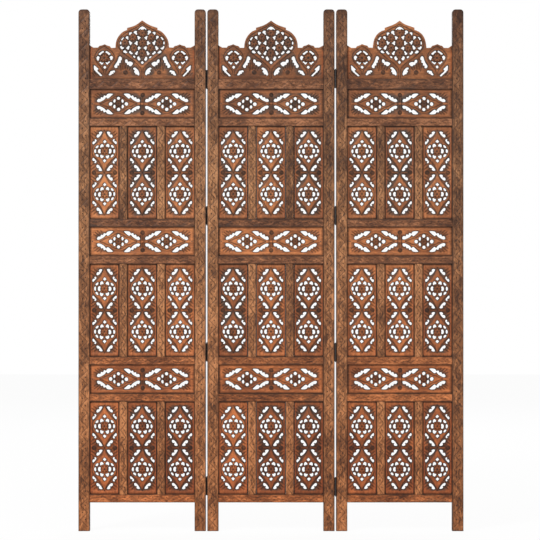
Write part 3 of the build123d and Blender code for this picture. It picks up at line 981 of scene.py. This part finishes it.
def stile_bar(side):
    (outer, _, foot), (_, half, top) = own_box("left_stile")
    inner = -inner_half
    groove_bottom, groove_top = own_box("bottom_rail")[0][2], crest_base + crest_groove
    turn = np.linspace(0, np.pi / 2, 6)
    arc = top_radius * np.stack([1 - np.cos(turn), np.sin(turn) - 1], 1)
    left_top = np.array([outer, top]) + arc
    right_top = np.array([inner, top]) + arc * (-1, 1)
    inner_side = [(inner, foot), (inner, groove_bottom), (inner, groove_top)]
    corners = np.array([(outer, foot), *inner_side, *right_top, *left_top[::-1]])
    run = [((inner, groove_bottom), (inner, groove_top), (-1, 0), False)]
    engraved = (outer, inner, plain_foot, top - plain_top)
    spots, polygons, values = engraved_bar(
        sampled(corners, bar_step), engraved, half, stile_round, [closed(corners)], run)
    # Grime gathers on the last centimetre, and more faintly on the last eight
    near_top = spots[:, 2] - top
    grime = 0.55 * eased((near_top + 13) / 11) + 0.25 * eased((near_top + 80) / 70)
    values["dark"] = np.maximum(values["dark"], grime)
    if side > 0:
        spots, polygons = spots * (-1, 1, 1), [p[::-1] for p in polygons]
    return [(spots, polygons, values)]


def rail_bar(node):
    low, high = own_box(node)
    x, z0, z1 = inner_half, low[2], high[2]
    runs = [((x, z1), (-x, z1), (0, -1), True)]
    if node != "bottom_rail":
        runs.append(((-x, z0), (x, z0), (0, 1), True))
    corners = rectangle(-x, x, z0, z1)
    steps = (np.arange(rail_steps) / rail_steps)[:, None]
    outline = np.concatenate([
        corners[0] + (corners[1] - corners[0]) * steps, corners[1:2],
        corners[2] + (corners[3] - corners[2]) * steps, corners[3:4],
    ])
    rounded = [corners[[0, 1]], corners[[2, 3]]]
    bar = engraved_bar(outline, (-x, x, z0, z1), high[1], rail_round, rounded, runs, rail_stain)
    ends = ((-x - seat, -x + tongue_lap), (x - tongue_lap, x + seat))
    bottom, top = z0 + tongue_inset, z1 - tongue_inset
    return [bar] + [block(*end, -tongue_half, tongue_half, bottom, top) for end in ends]


def mullion_bars():
    half = own_box("mullions")[1][1]
    bars = []
    for row in panel_rows:
        low, high = own_box(f"{row}_jali_panels")
        z0, z1 = low[2] + seat, high[2] - seat
        for side in (-1, 1):
            middle = side * bay_pitch / 2
            engraved = (middle - mullion_width / 2, middle + mullion_width / 2, z0, z1)
            corners = rectangle(*engraved)
            rounded = [corners[[1, 2]], corners[[3, 0]]]
            bars.append(engraved_bar(sampled(corners, bar_step), engraved, half, mullion_round, rounded))
    return bars


bars = {"left_stile": stile_bar(-1), "right_stile": stile_bar(1), "mullions": mullion_bars()}
for node in ("bottom_rail", "lower_band_bottom_rail", "lower_band_top_rail", "middle_band_bottom_rail",
             "middle_band_top_rail", "upper_band_bottom_rail", "crest_rail"):
    bars[node] = rail_bar(node)
print({node: sum(len(part[1]) for part in parts) for node, parts in bars.items()})

# %% [markdown]
# ## Hinges
#
# Each fold has four black butt hinges. A hinge is two plates let onto the stiles' edges,
# three rolled knuckles, and a pin with a small ball at each end. One hinge is made, and
# Geometry Nodes set a copy of it at every height.

# %% One hinge
def fold_axis(fold):
    joint = next(j for j in frame["joints"] if j["name"] == fold)
    return np.array(joint["pos_m"]) / MM


def ring_wall(loops, caps=True):
    """A closed shell through loops with the same count of points, one after another."""
    n = len(loops[0])
    last = (len(loops) - 1) * n
    after = [(i + 1) % n for i in range(n)]
    polygons = [[k + i, k + after[i], k + n + after[i], k + n + i]
                for k in range(0, last, n) for i in range(n)]
    if caps:
        polygons += [list(range(n))[::-1], [last + i for i in range(n)]]
    else:
        polygons += [[last + i, last + after[i], after[i], i] for i in range(n)]
    return np.concatenate(loops), polygons


def circle(radius, z, count=20):
    a = np.linspace(0, 2 * np.pi, count, endpoint=False)
    return np.stack([radius * np.cos(a), radius * np.sin(a), np.full(count, z)], 1)


hinge_length, knuckle_gap, plate_thickness, plate_width = 56.0, 0.3, 1.2, 21.0
barrel_radius, pin_radius, standoff = 2.5, 1.25, 3.0
pin_clearance, soft_end, tab_lap, clip, cut = 0.05, 0.35, 0.3, 3, 0.9
knuckle_length = (hinge_length - 2 * knuckle_gap) / 3


def knuckle_tube(middle, bored):
    """A knuckle with softened ends. The outer two are closed round the pin's ends."""
    low, high = middle - knuckle_length / 2, middle + knuckle_length / 2
    outside = [circle(barrel_radius - soft_end, low), circle(barrel_radius, low + soft_end),
               circle(barrel_radius, high - soft_end), circle(barrel_radius - soft_end, high)]
    if not bored:
        return ring_wall(outside)
    bore = pin_radius + pin_clearance
    return ring_wall([*outside, circle(bore, high), circle(bore, low)], caps=False)


def plate_faces(side):
    return sorted((side * (barrel_radius - plate_thickness), side * barrel_radius))


def plate_shell(side):
    """A plate whose far corners are rounded off, in two cuts each."""
    near, far = -standoff, -standoff - plate_width
    half = hinge_length / 2
    corners = [(near, -half), (near, half), (far + clip, half), (far + cut, half - cut), (far, half - clip),
               (far, clip - half), (far + cut, cut - half), (far + clip, -half)]
    return ring_wall([np.array([(x, y, z) for y, z in corners]) for x in plate_faces(side)])


def tab_shell(side, middle):
    """The tab that joins a plate to a knuckle."""
    low, high = middle - knuckle_length / 2, middle + knuckle_length / 2
    x0, x1 = plate_faces(side)
    loop = [(x0, -standoff - tab_lap), (x1, -standoff - tab_lap), (x1, 0.0), (x0, 0.0)]
    return ring_wall([np.array([(x, y, z) for x, y in loop]) for z in (low, high)])


def outward_shell(spots, polygons):
    """The shell with its faces turned outwards."""
    volume = 0.0
    for p in polygons:
        a = spots[p[0]]
        for b, c in zip(p[1:-1], p[2:]):
            volume += np.dot(a, np.cross(spots[b], spots[c]))
    polygons = polygons if volume > 0 else [p[::-1] for p in polygons]
    return spots, polygons, {"edge": np.zeros(len(spots))}


knuckle_pitch = knuckle_length + knuckle_gap
ball_radius, ball_rise = 1.7, hinge_length / 2 + 1.2
pin_profile = ((-9.5, 0.8), (-9.3, 1), (9.3, 1), (9.5, 0.8))
hinge_sets = {
    "centre_plates": [plate_shell(1)],
    "leaf_plates": [plate_shell(-1), tab_shell(-1, 0), knuckle_tube(0, True)],
    "pins": [ring_wall([circle(pin_radius * r, z) for z, r in pin_profile])],
}
for side in (-1, 1):
    middle = side * knuckle_pitch
    hinge_sets["centre_plates"] += [tab_shell(1, middle), knuckle_tube(middle, False)]
for side in (-1, 1):
    hinge_sets["centre_plates"].append(ring_wall([
        circle(ball_radius * math.sin(a), side * (ball_rise - ball_radius * math.cos(a)), 16)
        for a in np.linspace(0.12, np.pi - 0.12, 7)]))
hinge_sets = {key: joined([outward_shell(*shell) for shell in shells]) for key, shells in hinge_sets.items()}
print({key: len(value[1]) for key, value in hinge_sets.items()})

# %% [markdown]
# ## Wood
#
# The boards are orange-brown sheesham, rubbed bright on what stands proud and grey-black
# where wax and dust have settled in the carving. Each mesh carries numbers at its
# points: how dark the carving is there, from soot and from painted shade, how rubbed,
# how near an edge or, on a board, how strong the painted red-brown shade beside the
# frame is, and a tone that makes every board a little different. The shader mixes its
# colours by these numbers and by noise that is stretched along the grain. Old wax dulls
# the edges of the bars. The screen is warmest at its foot.

# %% Node helpers
def plain_material(name):
    material = bpy.data.materials.new(name)
    material.use_nodes = True
    return material, material.node_tree, material.node_tree.nodes["Principled BSDF"]


def add(tree, kind, inputs=None, **settings):
    """A node with its settings and inputs. An input that is a socket is linked."""
    node = tree.nodes.new(kind)
    for key, value in settings.items():
        setattr(node, key, value)
    for key, value in (inputs or {}).items():
        if isinstance(value, bpy.types.NodeSocket):
            tree.links.new(value, node.inputs[key])
        else:
            node.inputs[key].default_value = value
    return node


def sums(tree, operation, a, b, c=0.0, clamp=False):
    return add(tree, "ShaderNodeMath", {0: a, 1: b, 2: c}, operation=operation, use_clamp=clamp).outputs[0]


def between(tree, share, a, b, blend="MIX"):
    """A colour between two others."""
    return add(tree, "ShaderNodeMix", {0: share, 6: a, 7: b}, data_type="RGBA", blend_type=blend).outputs[2]


def noise(tree, vector, scale, detail, rough, distortion=0.0):
    sockets = {"Vector": vector, "Scale": scale, "Detail": detail, "Roughness": rough,
               "Distortion": distortion}
    return add(tree, "ShaderNodeTexNoise", sockets).outputs[0]


def stretched(tree, vector, along, share):
    scale = [1.0, 1.0, 1.0]
    scale["xyz".index(along)] = share
    return add(tree, "ShaderNodeMapping", {"Vector": vector, "Scale": scale}).outputs[0]


def number(tree, key):
    return add(tree, "ShaderNodeAttribute", attribute_name=key, attribute_type="GEOMETRY").outputs["Fac"]


def remapped(tree, value, low, high, to_low=0.0, to_high=1.0):
    sockets = {"Value": value, "From Min": low, "From Max": high, "To Min": to_low, "To Max": to_high}
    return add(tree, "ShaderNodeMapRange", sockets).outputs[0]


# %% Colours of the wood
ramps = {
    "frame": [(0.0, (0.062, 0.026, 0.013)), (0.32, (0.157, 0.066, 0.029)),
              (0.62, (0.267, 0.115, 0.047)), (1.0, (0.505, 0.230, 0.099))],
    "jali": [(0.0, (0.100, 0.034, 0.015)), (0.35, (0.198, 0.067, 0.027)),
             (0.65, (0.322, 0.107, 0.039)), (1.0, (0.590, 0.208, 0.074))],
}
patina = {
    "frame": (0.062, 0.040, 0.029, 1), "rail": (0.070, 0.040, 0.028, 1),
    "jali": (0.092, 0.060, 0.045, 1), "crest": (0.085, 0.056, 0.042, 1),
}
# The darkest colours stand for soot and also for painted shade
carved_soot_and_shade, bar_soot_and_shade = (0.013, 0.009, 0.007, 1), (0.034, 0.014, 0.008, 1)
# The colour of the painted red-brown shade beside the frame
red_shade_colour = (0.42, 0.10, 0.032, 1)


def tinted(stops, red, green, blue):
    return [(place, (r * red, g * green, b * blue)) for place, (r, g, b) in stops]


ramps["rail"] = tinted(ramps["frame"], 1.04, 0.88, 0.88)
ramps["crest"] = tinted(ramps["jali"], 0.89, 0.97, 1.03)

# From the foot, which is warmer, to the top, which is darker and greyer
casts = {
    "frame": [(0.0, (1.18, 0.99, 0.86)), (0.45, (1.05, 1.0, 0.98)), (0.7, (0.93, 0.96, 1.0)),
              (1.0, (0.60, 0.60, 0.67))],
    "rail": [(0.0, (1.36, 1.13, 0.87)), (0.3, (1.24, 1.10, 0.89)), (0.55, (0.85, 0.93, 1.0)),
             (1.0, (0.65, 0.72, 0.80))],
    "jali": [(0.0, (0.98, 0.77, 0.66)), (0.45, (1.03, 1.0, 0.96)), (0.72, (0.97, 1.05, 1.12)),
             (1.0, (0.80, 0.87, 0.95))],
}
print("colours for", ", ".join(ramps))

# %% Wood finishes
def ramp(tree, value, stops):
    """A colour that runs through several stops."""
    node = add(tree, "ShaderNodeValToRGB", {0: value})
    elements = node.color_ramp.elements
    while len(elements) < len(stops):
        elements.new(0.5)
    for element, (place, colour) in zip(elements, stops):
        element.position, element.color = place, (*colour, 1)
    return node.outputs[0]


def wood(name, family, along):
    """A waxed, antiqued wood with its grain along x or z."""
    material, tree, shader = plain_material(name)
    place = add(tree, "ShaderNodeTexCoord").outputs["Object"]
    tone = number(tree, "tone")
    offset = add(tree, "ShaderNodeCombineXYZ", {
        0: sums(tree, "MULTIPLY", tone, 3.1), 1: tone, 2: sums(tree, "MULTIPLY", tone, 1.7)}).outputs[0]
    shifted = add(tree, "ShaderNodeVectorMath", {0: place, 1: offset}, operation="ADD").outputs[0]
    grain = noise(tree, stretched(tree, shifted, along, 0.3), 230, 4, 0.68, 0.6)
    figure = noise(tree, stretched(tree, shifted, along, 0.33), 75, 3, 0.65, 1.0)
    flecks = noise(tree, stretched(tree, shifted, along, 0.7), 210, 2, 0.7)
    fibres = noise(tree, stretched(tree, shifted, along, 0.04), 1300, 2, 0.5)
    patches = noise(tree, place, 6.5, 3, 0.6, 0.4)
    spots = noise(tree, place, 42, 3, 0.65)
    dark, polish, edge = number(tree, "dark"), number(tree, "polish"), number(tree, "edge")

    # The figure runs from dark to light wood, a little apart from board to board
    streak = sums(tree, "MULTIPLY_ADD", grain, 0.55, sums(tree, "MULTIPLY", figure, 0.45))
    streak = remapped(tree, streak, 0.39, 0.62)
    carved = family in ("jali", "crest")
    sway = 1.1 if carved else 1.7
    clouds = sums(tree, "MULTIPLY_ADD", patches, sway, -0.07 - sway / 2)
    drift = sums(tree, "MULTIPLY_ADD", tone, 0.34, clouds)
    gleam, figured, flecked = (0.28, 0.46, 0.3) if carved else (0.0, 0.86, 0.4)
    body = sums(tree, "MULTIPLY_ADD", streak, figured, drift)
    if not carved:
        body = sums(tree, "ADD", body, -0.06)
    body = sums(tree, "ADD", body, sums(tree, "MULTIPLY_ADD", polish, gleam, 0.055), clamp=True)
    colour = ramp(tree, body, ramps[family])

    # Old wax lies grey on a board's low places and on a bar's edges, in patches and spots
    kept = (polish, -0.62, 0.44) if carved else (edge, 0.42, -0.16)
    settled = sums(tree, "MULTIPLY_ADD", patches, 1.5, sums(tree, "MULTIPLY_ADD", spots, 1.3, -1.42))
    dust = sums(tree, "ADD", sums(tree, "MULTIPLY_ADD", *kept), settled)
    dust = sums(tree, "ADD", dust, sums(tree, "MULTIPLY_ADD", tone, -0.42, 0.2))
    dust = remapped(tree, dust, 0.0, 0.6, 0.0, 0.88)
    colour = between(tree, dust, colour, patina[family])
    colour = between(tree, remapped(tree, fibres, 0.58, 0.76, 0.0, 0.4), colour, patina[family])
    colour = between(tree, remapped(tree, flecks, 0.56, 0.66, 0.0, flecked), colour, patina[family])
    # On a board the edge number is the painted red-brown shade beside the frame
    if carved:
        colour = between(tree, sums(tree, "MULTIPLY", edge, 0.5), colour, red_shade_colour)
    if family in casts:
        height = add(tree, "ShaderNodeSeparateXYZ", {0: place}).outputs["Z"]
        cast = ramp(tree, remapped(tree, height, 0.05, 1.55), casts[family])
        colour = between(tree, 1.0, colour, cast, "MULTIPLY")

    # Soil, and painted shade at edges, webs and seams, darken the carving, and a fine relief of fibres and
    # spots roughens the surface
    soil_and_shade = sums(tree, "MULTIPLY", dark, remapped(tree, spots, 0.25, 0.6, 0.80, 1.05), clamp=True)
    colour = between(tree, soil_and_shade, colour, carved_soot_and_shade if carved else bar_soot_and_shade)
    tree.links.new(colour, shader.inputs["Base Color"])
    rough = sums(tree, "MULTIPLY_ADD", dust, 0.2, sums(tree, "MULTIPLY_ADD", grain, 0.2, 0.38))
    tree.links.new(rough, shader.inputs["Roughness"])
    shader.inputs["Specular IOR Level"].default_value = 0.2
    relief = sums(tree, "MULTIPLY_ADD", fibres, -0.4, sums(tree, "MULTIPLY_ADD", spots, 0.5, grain))
    bump = add(tree, "ShaderNodeBump", {"Height": relief, "Strength": 0.5, "Distance": 0.0007})
    tree.links.new(bump.outputs[0], shader.inputs["Normal"])
    return material


woods = {}
for family, along in (("frame", "z"), ("rail", "x"), ("jali", "x"), ("jali", "z"), ("crest", "x")):
    woods[family, along] = wood(f"{family}_wood_{along}", family, along)
print("wood finishes:", sorted(m.name for m in woods.values()))

# %% [markdown]
# ## Iron
#
# The hinges are blackened iron, dull and blotchy, and the screw heads are a little
# greyer. A picture of worn iron would have to fit each small part, so a fine noise mixes
# two colours instead, and the same noise sets how rough the iron is.

# %% Iron finishes
def iron(name, colour, wear, roughness):
    material, tree, shader = plain_material(name)
    place = add(tree, "ShaderNodeTexCoord").outputs["Object"]
    blotch = noise(tree, place, 300, 4, 0.6)
    tree.links.new(between(tree, remapped(tree, blotch, 0.35, 0.75), colour, wear),
                   shader.inputs["Base Color"])
    tree.links.new(remapped(tree, blotch, 0.3, 0.7, roughness - 0.08, roughness + 0.14),
                   shader.inputs["Roughness"])
    shader.inputs["Metallic"].default_value = 0.35
    pits = noise(tree, place, 1600, 3, 0.6)
    bump = add(tree, "ShaderNodeBump", {"Height": pits, "Strength": 0.3, "Distance": 0.0002})
    tree.links.new(bump.outputs[0], shader.inputs["Normal"])
    return material


black_iron = iron("black_iron", (0.012, 0.012, 0.013, 1), (0.035, 0.030, 0.027, 1), 0.45)
screw_iron = iron("screw_iron", (0.03, 0.028, 0.026, 1), (0.09, 0.07, 0.055, 1), 0.4)
print("iron finishes:", black_iron.name, "and", screw_iron.name)

# %% [markdown]
# ## Put the leaves together
#
# Every leaf uses the same drawn pieces, moved to its place. No two boards that are cut
# by hand are alike, so each board's carving wanders by as much as a millimetre or so,
# and its edges stay where the grooves hold them.

# %% Boards cut by hand
wander_reach, calm_width = 0.8, 14


def hand_cut(spots, half_x, half_z):
    """The same board with its carving a little out of true, and its edges kept."""
    x, z = spots[:, 0], spots[:, 2]
    calm = eased(np.minimum(half_x - np.abs(x), half_z - np.abs(z)) / calm_width)
    moved_spots = spots.copy()
    for axis in (0, 2):
        for wave in (0.042, 0.086):
            a, b, c = rng.uniform(0, 2 * np.pi, 3)
            sway = np.sin(wave * x + a) * np.cos(wave * z + b) * np.cos(c)
            moved_spots[:, axis] += calm * wander_reach * sway
    return moved_spots


def board_part(board, x, z, half_x, half_z, tones=(0.0, 1.0)):
    """One board in its place on a leaf, with a tone of its own."""
    flat, faces, depth, dark, polish, rim = board
    spots, triangles = closed_board(flat, faces, depth, panel_half)
    spots = hand_cut(spots, half_x, half_z) + (x, 0, z)
    tone = np.full(len(spots), rng.uniform(*tones))
    # On a board the edge number carries the painted red-brown shade beside the frame
    values = {"dark": np.tile(dark, 2), "polish": np.tile(polish, 2), "edge": np.tile(rim, 2), "tone": tone}
    return spots, triangles, values


print("the carving wanders by up to", 2 * wander_reach, "mm")

# %% Dress the leaves
def fitted(name, parts, leaf, nodes, finish, flat_sides=False):
    """One finished piece on a leaf: its mesh, its place and its finish, with the CAD nodes that it replaces
    hidden.
    """
    spots, polygons, values = joined(parts)
    place = (leaf_middle(leaf), 0, 0)
    piece = mesh_object(name, spots + place, polygons, values, flat_sides)
    piece.data.materials.append(finish)
    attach(piece, leaf)
    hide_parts(*nodes)


def toned(part, low, high):
    spots, polygons, values = part
    return spots, polygons, {**values, "tone": np.full(len(spots), rng.uniform(low, high))}


def middle_height(node):
    low, high = own_box(node)
    return (low[2] + high[2]) / 2


band_tones = {"lower": (0.55, 0.8), "middle": (0.85, 1.1), "upper": (0.1, 0.35)}
bar_tones = {"mullions": (0.4, 1.4), "middle_band_top_rail": (0.0, 0.4), "upper_band_bottom_rail": (0.8, 1.2)}

# A tall board's sides beside a mullion have no groove to sit in, so they are drawn in
margin, clearance = 4, 0.2
calm_half = bay_width / 2 - margin
squeeze = (margin - clearance) / (margin + seat)
bay_places = (-1, 0, 1)

for leaf in leaves:
    for node, parts in bars.items():
        upright = "stile" in node or node == "mullions"
        finish = woods["frame", "z"] if upright else woods["rail", "x"]
        parts = [toned(p, *bar_tones.get(node, (0.2, 0.8))) for p in parts]
        fitted(f"{leaf}_{node}_engraved", parts, leaf, [f"{leaf}_{node}"], finish, True)
    for row in panel_rows:
        z = middle_height(f"{row}_jali_panels")
        parts = [board_part(tall, i * bay_pitch, z, bay_width / 2, tall_half) for i in bay_places]
        for i, (spots, _, _) in zip(bay_places, parts):
            for side in {-1, 1} - {i}:
                across = (spots[:, 0] - i * bay_pitch) * side
                beyond = np.maximum(across - calm_half, 0)
                spots[:, 0] -= side * beyond * (1 - squeeze)
        nodes = [f"{leaf}_{row}_jali_panels"]
        fitted(f"{leaf}_{row}_jali_carved", parts, leaf, nodes, woods["jali", "z"])
        z = middle_height(f"{row}_band_panel")
        part = board_part(band, 0, z, inner_half, band_half, band_tones[row])
        nodes = [f"{leaf}_{row}_band_panel"]
        fitted(f"{leaf}_{row}_band_carved", [part], leaf, nodes, woods["jali", "x"])
    part = board_part(crest, 0, crest_base, inner_half, 220)
    fitted(f"{leaf}_crest_carved", [part], leaf, [f"{leaf}_crest_panel"], woods["crest", "x"])

# %% [markdown]
# ## Small pieces that repeat
#
# Hinges, screws and brads are the same piece set many times. Geometry Nodes do this well:
# the tree takes a cloud of places, each with the way it faces, and sets a copy of the
# piece at every one, with a turn of its own. Realize Instances makes the copies real, and
# the result is kept as a plain mesh, one for each body that moves.

# %% A tree that sets copies
copies = bpy.data.node_groups.new("copies_at_places", "GeometryNodeTree")
for title, kind, start in (
    ("Places", "Geometry", None), ("Piece", "Object", None), ("Size", "Float", 1.0), ("Turn", "Float", 0.0),
    ("Wander", "Float", 0.0), ("Seed", "Int", 1), ("Finish", "Material", None),
):
    socket = copies.interface.new_socket(title, in_out="INPUT", socket_type=f"NodeSocket{kind}")
    if start is not None:
        socket.default_value = start
copies.interface.new_socket("Pieces", in_out="OUTPUT", socket_type="NodeSocketGeometry")
given = copies.nodes.new("NodeGroupInput").outputs
facing = add(copies, "GeometryNodeInputNamedAttribute", {"Name": "facing"},
             data_type="FLOAT_VECTOR").outputs[0]
upright = add(copies, "FunctionNodeAlignRotationToVector", {"Vector": facing}, axis="Z").outputs[0]
least = sums(copies, "MULTIPLY", given["Wander"], -1.0)
wander = add(copies, "FunctionNodeRandomValue", {2: least, 3: given["Wander"], "Seed": given["Seed"]},
             data_type="FLOAT").outputs[1]
spin = add(copies, "FunctionNodeAxisAngleToRotation", {
    "Axis": (0, 0, 1), "Angle": sums(copies, "ADD", given["Turn"], wander)}).outputs[0]
turn = add(copies, "FunctionNodeRotateRotation", {0: upright, 1: spin}, rotation_space="LOCAL").outputs[0]
master = add(copies, "GeometryNodeObjectInfo", {"Object": given["Piece"]}).outputs["Geometry"]
set_out = add(copies, "GeometryNodeInstanceOnPoints", {
    "Points": given["Places"], "Instance": master, "Rotation": turn, "Scale": given["Size"]}).outputs[0]
real = add(copies, "GeometryNodeRealizeInstances", {0: set_out}).outputs[0]
finished = add(copies, "GeometryNodeSetMaterial", {"Geometry": real, "Material": given["Finish"]}).outputs[0]
copies.links.new(finished, copies.nodes.new("NodeGroupOutput").inputs[0])
print("the tree has", len(copies.nodes), "nodes")

# %% Plain meshes of copies
def real_copies(name, shell, finish, places, facing, body, replaced=(), slot="hinge_iron", **inputs):
    """Copies of one shell at places in millimetres, as one plain mesh that rides on a body."""
    piece = mesh_object(f"{name}_one", *shell)
    cloud = bpy.data.meshes.new(name)
    cloud.from_pydata([tuple(p) for p in np.asarray(places, float) * MM], [], [])
    cloud.attributes.new("facing", "FLOAT_VECTOR", "POINT").data.foreach_set(
        "vector", np.broadcast_to(facing, (len(places), 3)).astype(np.float32).ravel())
    host = placed(name, cloud)
    modifier = host.modifiers.new("copies", "NODES")
    modifier.node_group = copies
    inputs = {"Piece": piece, "Finish": finish, **inputs}
    for socket in copies.interface.items_tree:
        if socket.in_out == "INPUT" and socket.name in inputs:
            modifier[socket.identifier] = inputs[socket.name]
    evaluated = host.evaluated_get(bpy.context.evaluated_depsgraph_get())
    result = bpy.data.meshes.new_from_object(evaluated)
    host.modifiers.remove(modifier)
    host.data = result
    bpy.data.objects.remove(piece)
    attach(host, body)
    if replaced:
        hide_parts(*replaced)
    print(name, "has", len(places), "copies and", len(result.polygons), "faces")


# %% One screw
def screw_shell(radius, proud):
    """A countersunk head with a slot, standing a little proud of its face."""
    count = 18
    loops = [circle(radius, -0.6, count), circle(radius, proud * 0.4, count),
             circle(radius * 0.86, proud, count)]
    spots, polygons = ring_wall(loops)
    slot_reach, slot_half, slot_depth = radius * 0.72, radius * 0.13, proud + 0.5
    top = polygons.pop()
    rim = spots[top]
    slot = np.array([(x, z, proud) for x, z in rectangle(-slot_reach, slot_reach, -slot_half, slot_half)])
    start = len(spots)
    lines = [(i, (i + 1) % count) for i in range(count)]
    lines += [(count + i, count + (i + 1) % 4) for i in range(4)]
    flat = [tuple(p[:2]) for p in np.concatenate([rim, slot])]
    fans = delaunay_2d_cdt(flat, lines, [], 0, 1e-6)[2]
    names = [*top, *range(start, start + 4)]
    for fan in fans:
        middle = np.mean([flat[i] for i in fan], axis=0)
        if abs(middle[0]) > slot_reach or abs(middle[1]) > slot_half or any(i < count for i in fan):
            polygons.append([names[i] for i in fan])
    spots = np.concatenate([spots, slot, slot - (0, 0, slot_depth)])
    for i in range(4):
        j = (i + 1) % 4
        polygons.append([start + i, start + j, start + 4 + j, start + 4 + i])
    polygons.append([start + 4 + i for i in range(4)])
    return spots, polygons, {"edge": np.zeros(len(spots))}


screw = screw_shell(2.6, 0.18)
print("a screw head has", len(screw[1]), "faces")

# %% Hinges at every height
hinge_heights = (140.0, 562.0, 992.0, 1422.0)
screw_spots = ((8.5, -19), (18, -8.5), (18, 8.5), (8.5, 19))
for fold, outer, side in (("left_fold", "left_leaf", 1), ("right_fold", "right_leaf", -1)):
    axis = fold_axis(fold)
    places = [(axis[0], axis[1], z) for z in hinge_heights]
    turn = 0.0 if side > 0 else math.pi
    for part, body in (("centre_plates", "centre_leaf"), ("leaf_plates", outer), ("pins", "centre_leaf")):
        real_copies(f"{fold}_{part}_rolled", hinge_sets[part], black_iron, places, (0, 0, 1), body,
                    [f"{fold}_{part}"], Turn=turn)
    for part, body, way in (("centre_screws", "centre_leaf", 1), ("leaf_screws", outer, -1)):
        spots = [(axis[0] + side * way * (barrel_radius - plate_thickness), axis[1] - side * y, z + dz)
                 for z in hinge_heights for y, dz in screw_spots]
        real_copies(f"{fold}_{part}", screw, screw_iron, spots, (-side * way, 0, 0), body,
                    Wander=1.4, Seed=len(part))

# %% Brads that pin the bands
brad_radius, brad_inset = 1.7, 8.6
brad_profile = ((1, -0.8), (1, 0.0), (0.75, 0.35), (0.3, 0.5))
brad = outward_shell(*ring_wall([circle(brad_radius * r, z, 14) for r, z in brad_profile]))
for leaf in leaves:
    x, reach = leaf_middle(leaf), inner_half - brad_inset
    spots = [(x + side * reach, -panel_half, middle_height(f"{row}_band_panel"))
             for row in panel_rows for side in (-1, 1)]
    real_copies(f"{leaf}_brads", brad, screw_iron, spots, (0, -1, 0), leaf, Wander=0.6, Seed=5)

# %% [markdown]
# ## Floor, light and camera
#
# A pale floor and an even studio light show the colours as they are written. The floor
# and the world look white to the camera and in reflections, and light the screen gently.

# %% Stage
scene = bpy.context.scene
scene.view_settings.view_transform = "Standard"
world = bpy.data.worlds.new("studio")
scene.world = world
world.use_nodes = True
tree = world.node_tree


def seen(tree):
    """1 where a ray comes from the camera or a reflection."""
    path = add(tree, "ShaderNodeLightPath")
    return sums(tree, "MAXIMUM", path.outputs["Is Camera Ray"], sums(
        tree, "MAXIMUM", path.outputs["Is Glossy Ray"], path.outputs["Is Transmission Ray"]))


world_light, floor_size, floor_glow = 0.5, 9.0, 0.94
strength = add(tree, "ShaderNodeMix", {0: seen(tree), 2: world_light, 3: 1.0}, data_type="FLOAT").outputs[0]
tree.links.new(strength, tree.nodes["Background"].inputs["Strength"])
tree.nodes["Background"].inputs["Color"].default_value = (1, 1, 1, 1)

floor = placed("floor", bpy.data.meshes.new("floor"))
floor_corners = [(x * floor_size, y * floor_size, 0) for x, y in ((-1, -1), (1, -1), (1, 1), (-1, 1))]
floor.data.from_pydata(floor_corners, [], [(0, 1, 2, 3)])
paper, tree, shader = plain_material("pale_floor")
shader.inputs["Base Color"].default_value = (0.80, 0.80, 0.80, 1)
shader.inputs["Roughness"].default_value = 0.9
glow = add(tree, "ShaderNodeEmission", {"Color": (1, 1, 1, 1), "Strength": 1.0})
share = sums(tree, "MULTIPLY", seen(tree), floor_glow)
mix = add(tree, "ShaderNodeMixShader", {0: share, 1: shader.outputs[0], 2: glow.outputs[0]})
tree.links.new(mix.outputs[0], tree.nodes["Material Output"].inputs["Surface"])
floor.data.materials.append(paper)
print("the floor is", 2 * floor_size, "m square")

# %% Lamps and camera
def lamp(name, place, aim, size, power):
    light = bpy.data.lights.new(name, "AREA")
    light.size, light.energy = size, power
    thing = placed(name, light)
    thing.location = place
    thing.rotation_euler = (Vector(aim) - Vector(place)).to_track_quat("-Z", "Y").to_euler()


lamp("key", (-2.8, -3.6, 3.8), (0, 0, 0.9), 1.2, 185)
lamp("fill", (3.4, -3.2, 1.6), (0, 0, 0.8), 2.5, 30)
lamp("back", (0.5, 4.0, 3.4), (0, 0, 0.9), 3.0, 110)

camera = placed("camera", bpy.data.cameras.new("camera"))
scene.camera = camera
view_width, view_distance, sensor = 1.6967, 6.0, 36
aim_x, front_face, aim_z = -0.003, -0.0125, 0.8207
camera.location = (aim_x, front_face - view_distance, aim_z)
camera.rotation_euler = (math.radians(90), 0, 0)
camera.data.sensor_width = sensor
camera.data.lens = sensor * view_distance / view_width
print("camera lens", round(camera.data.lens, 1), "mm")
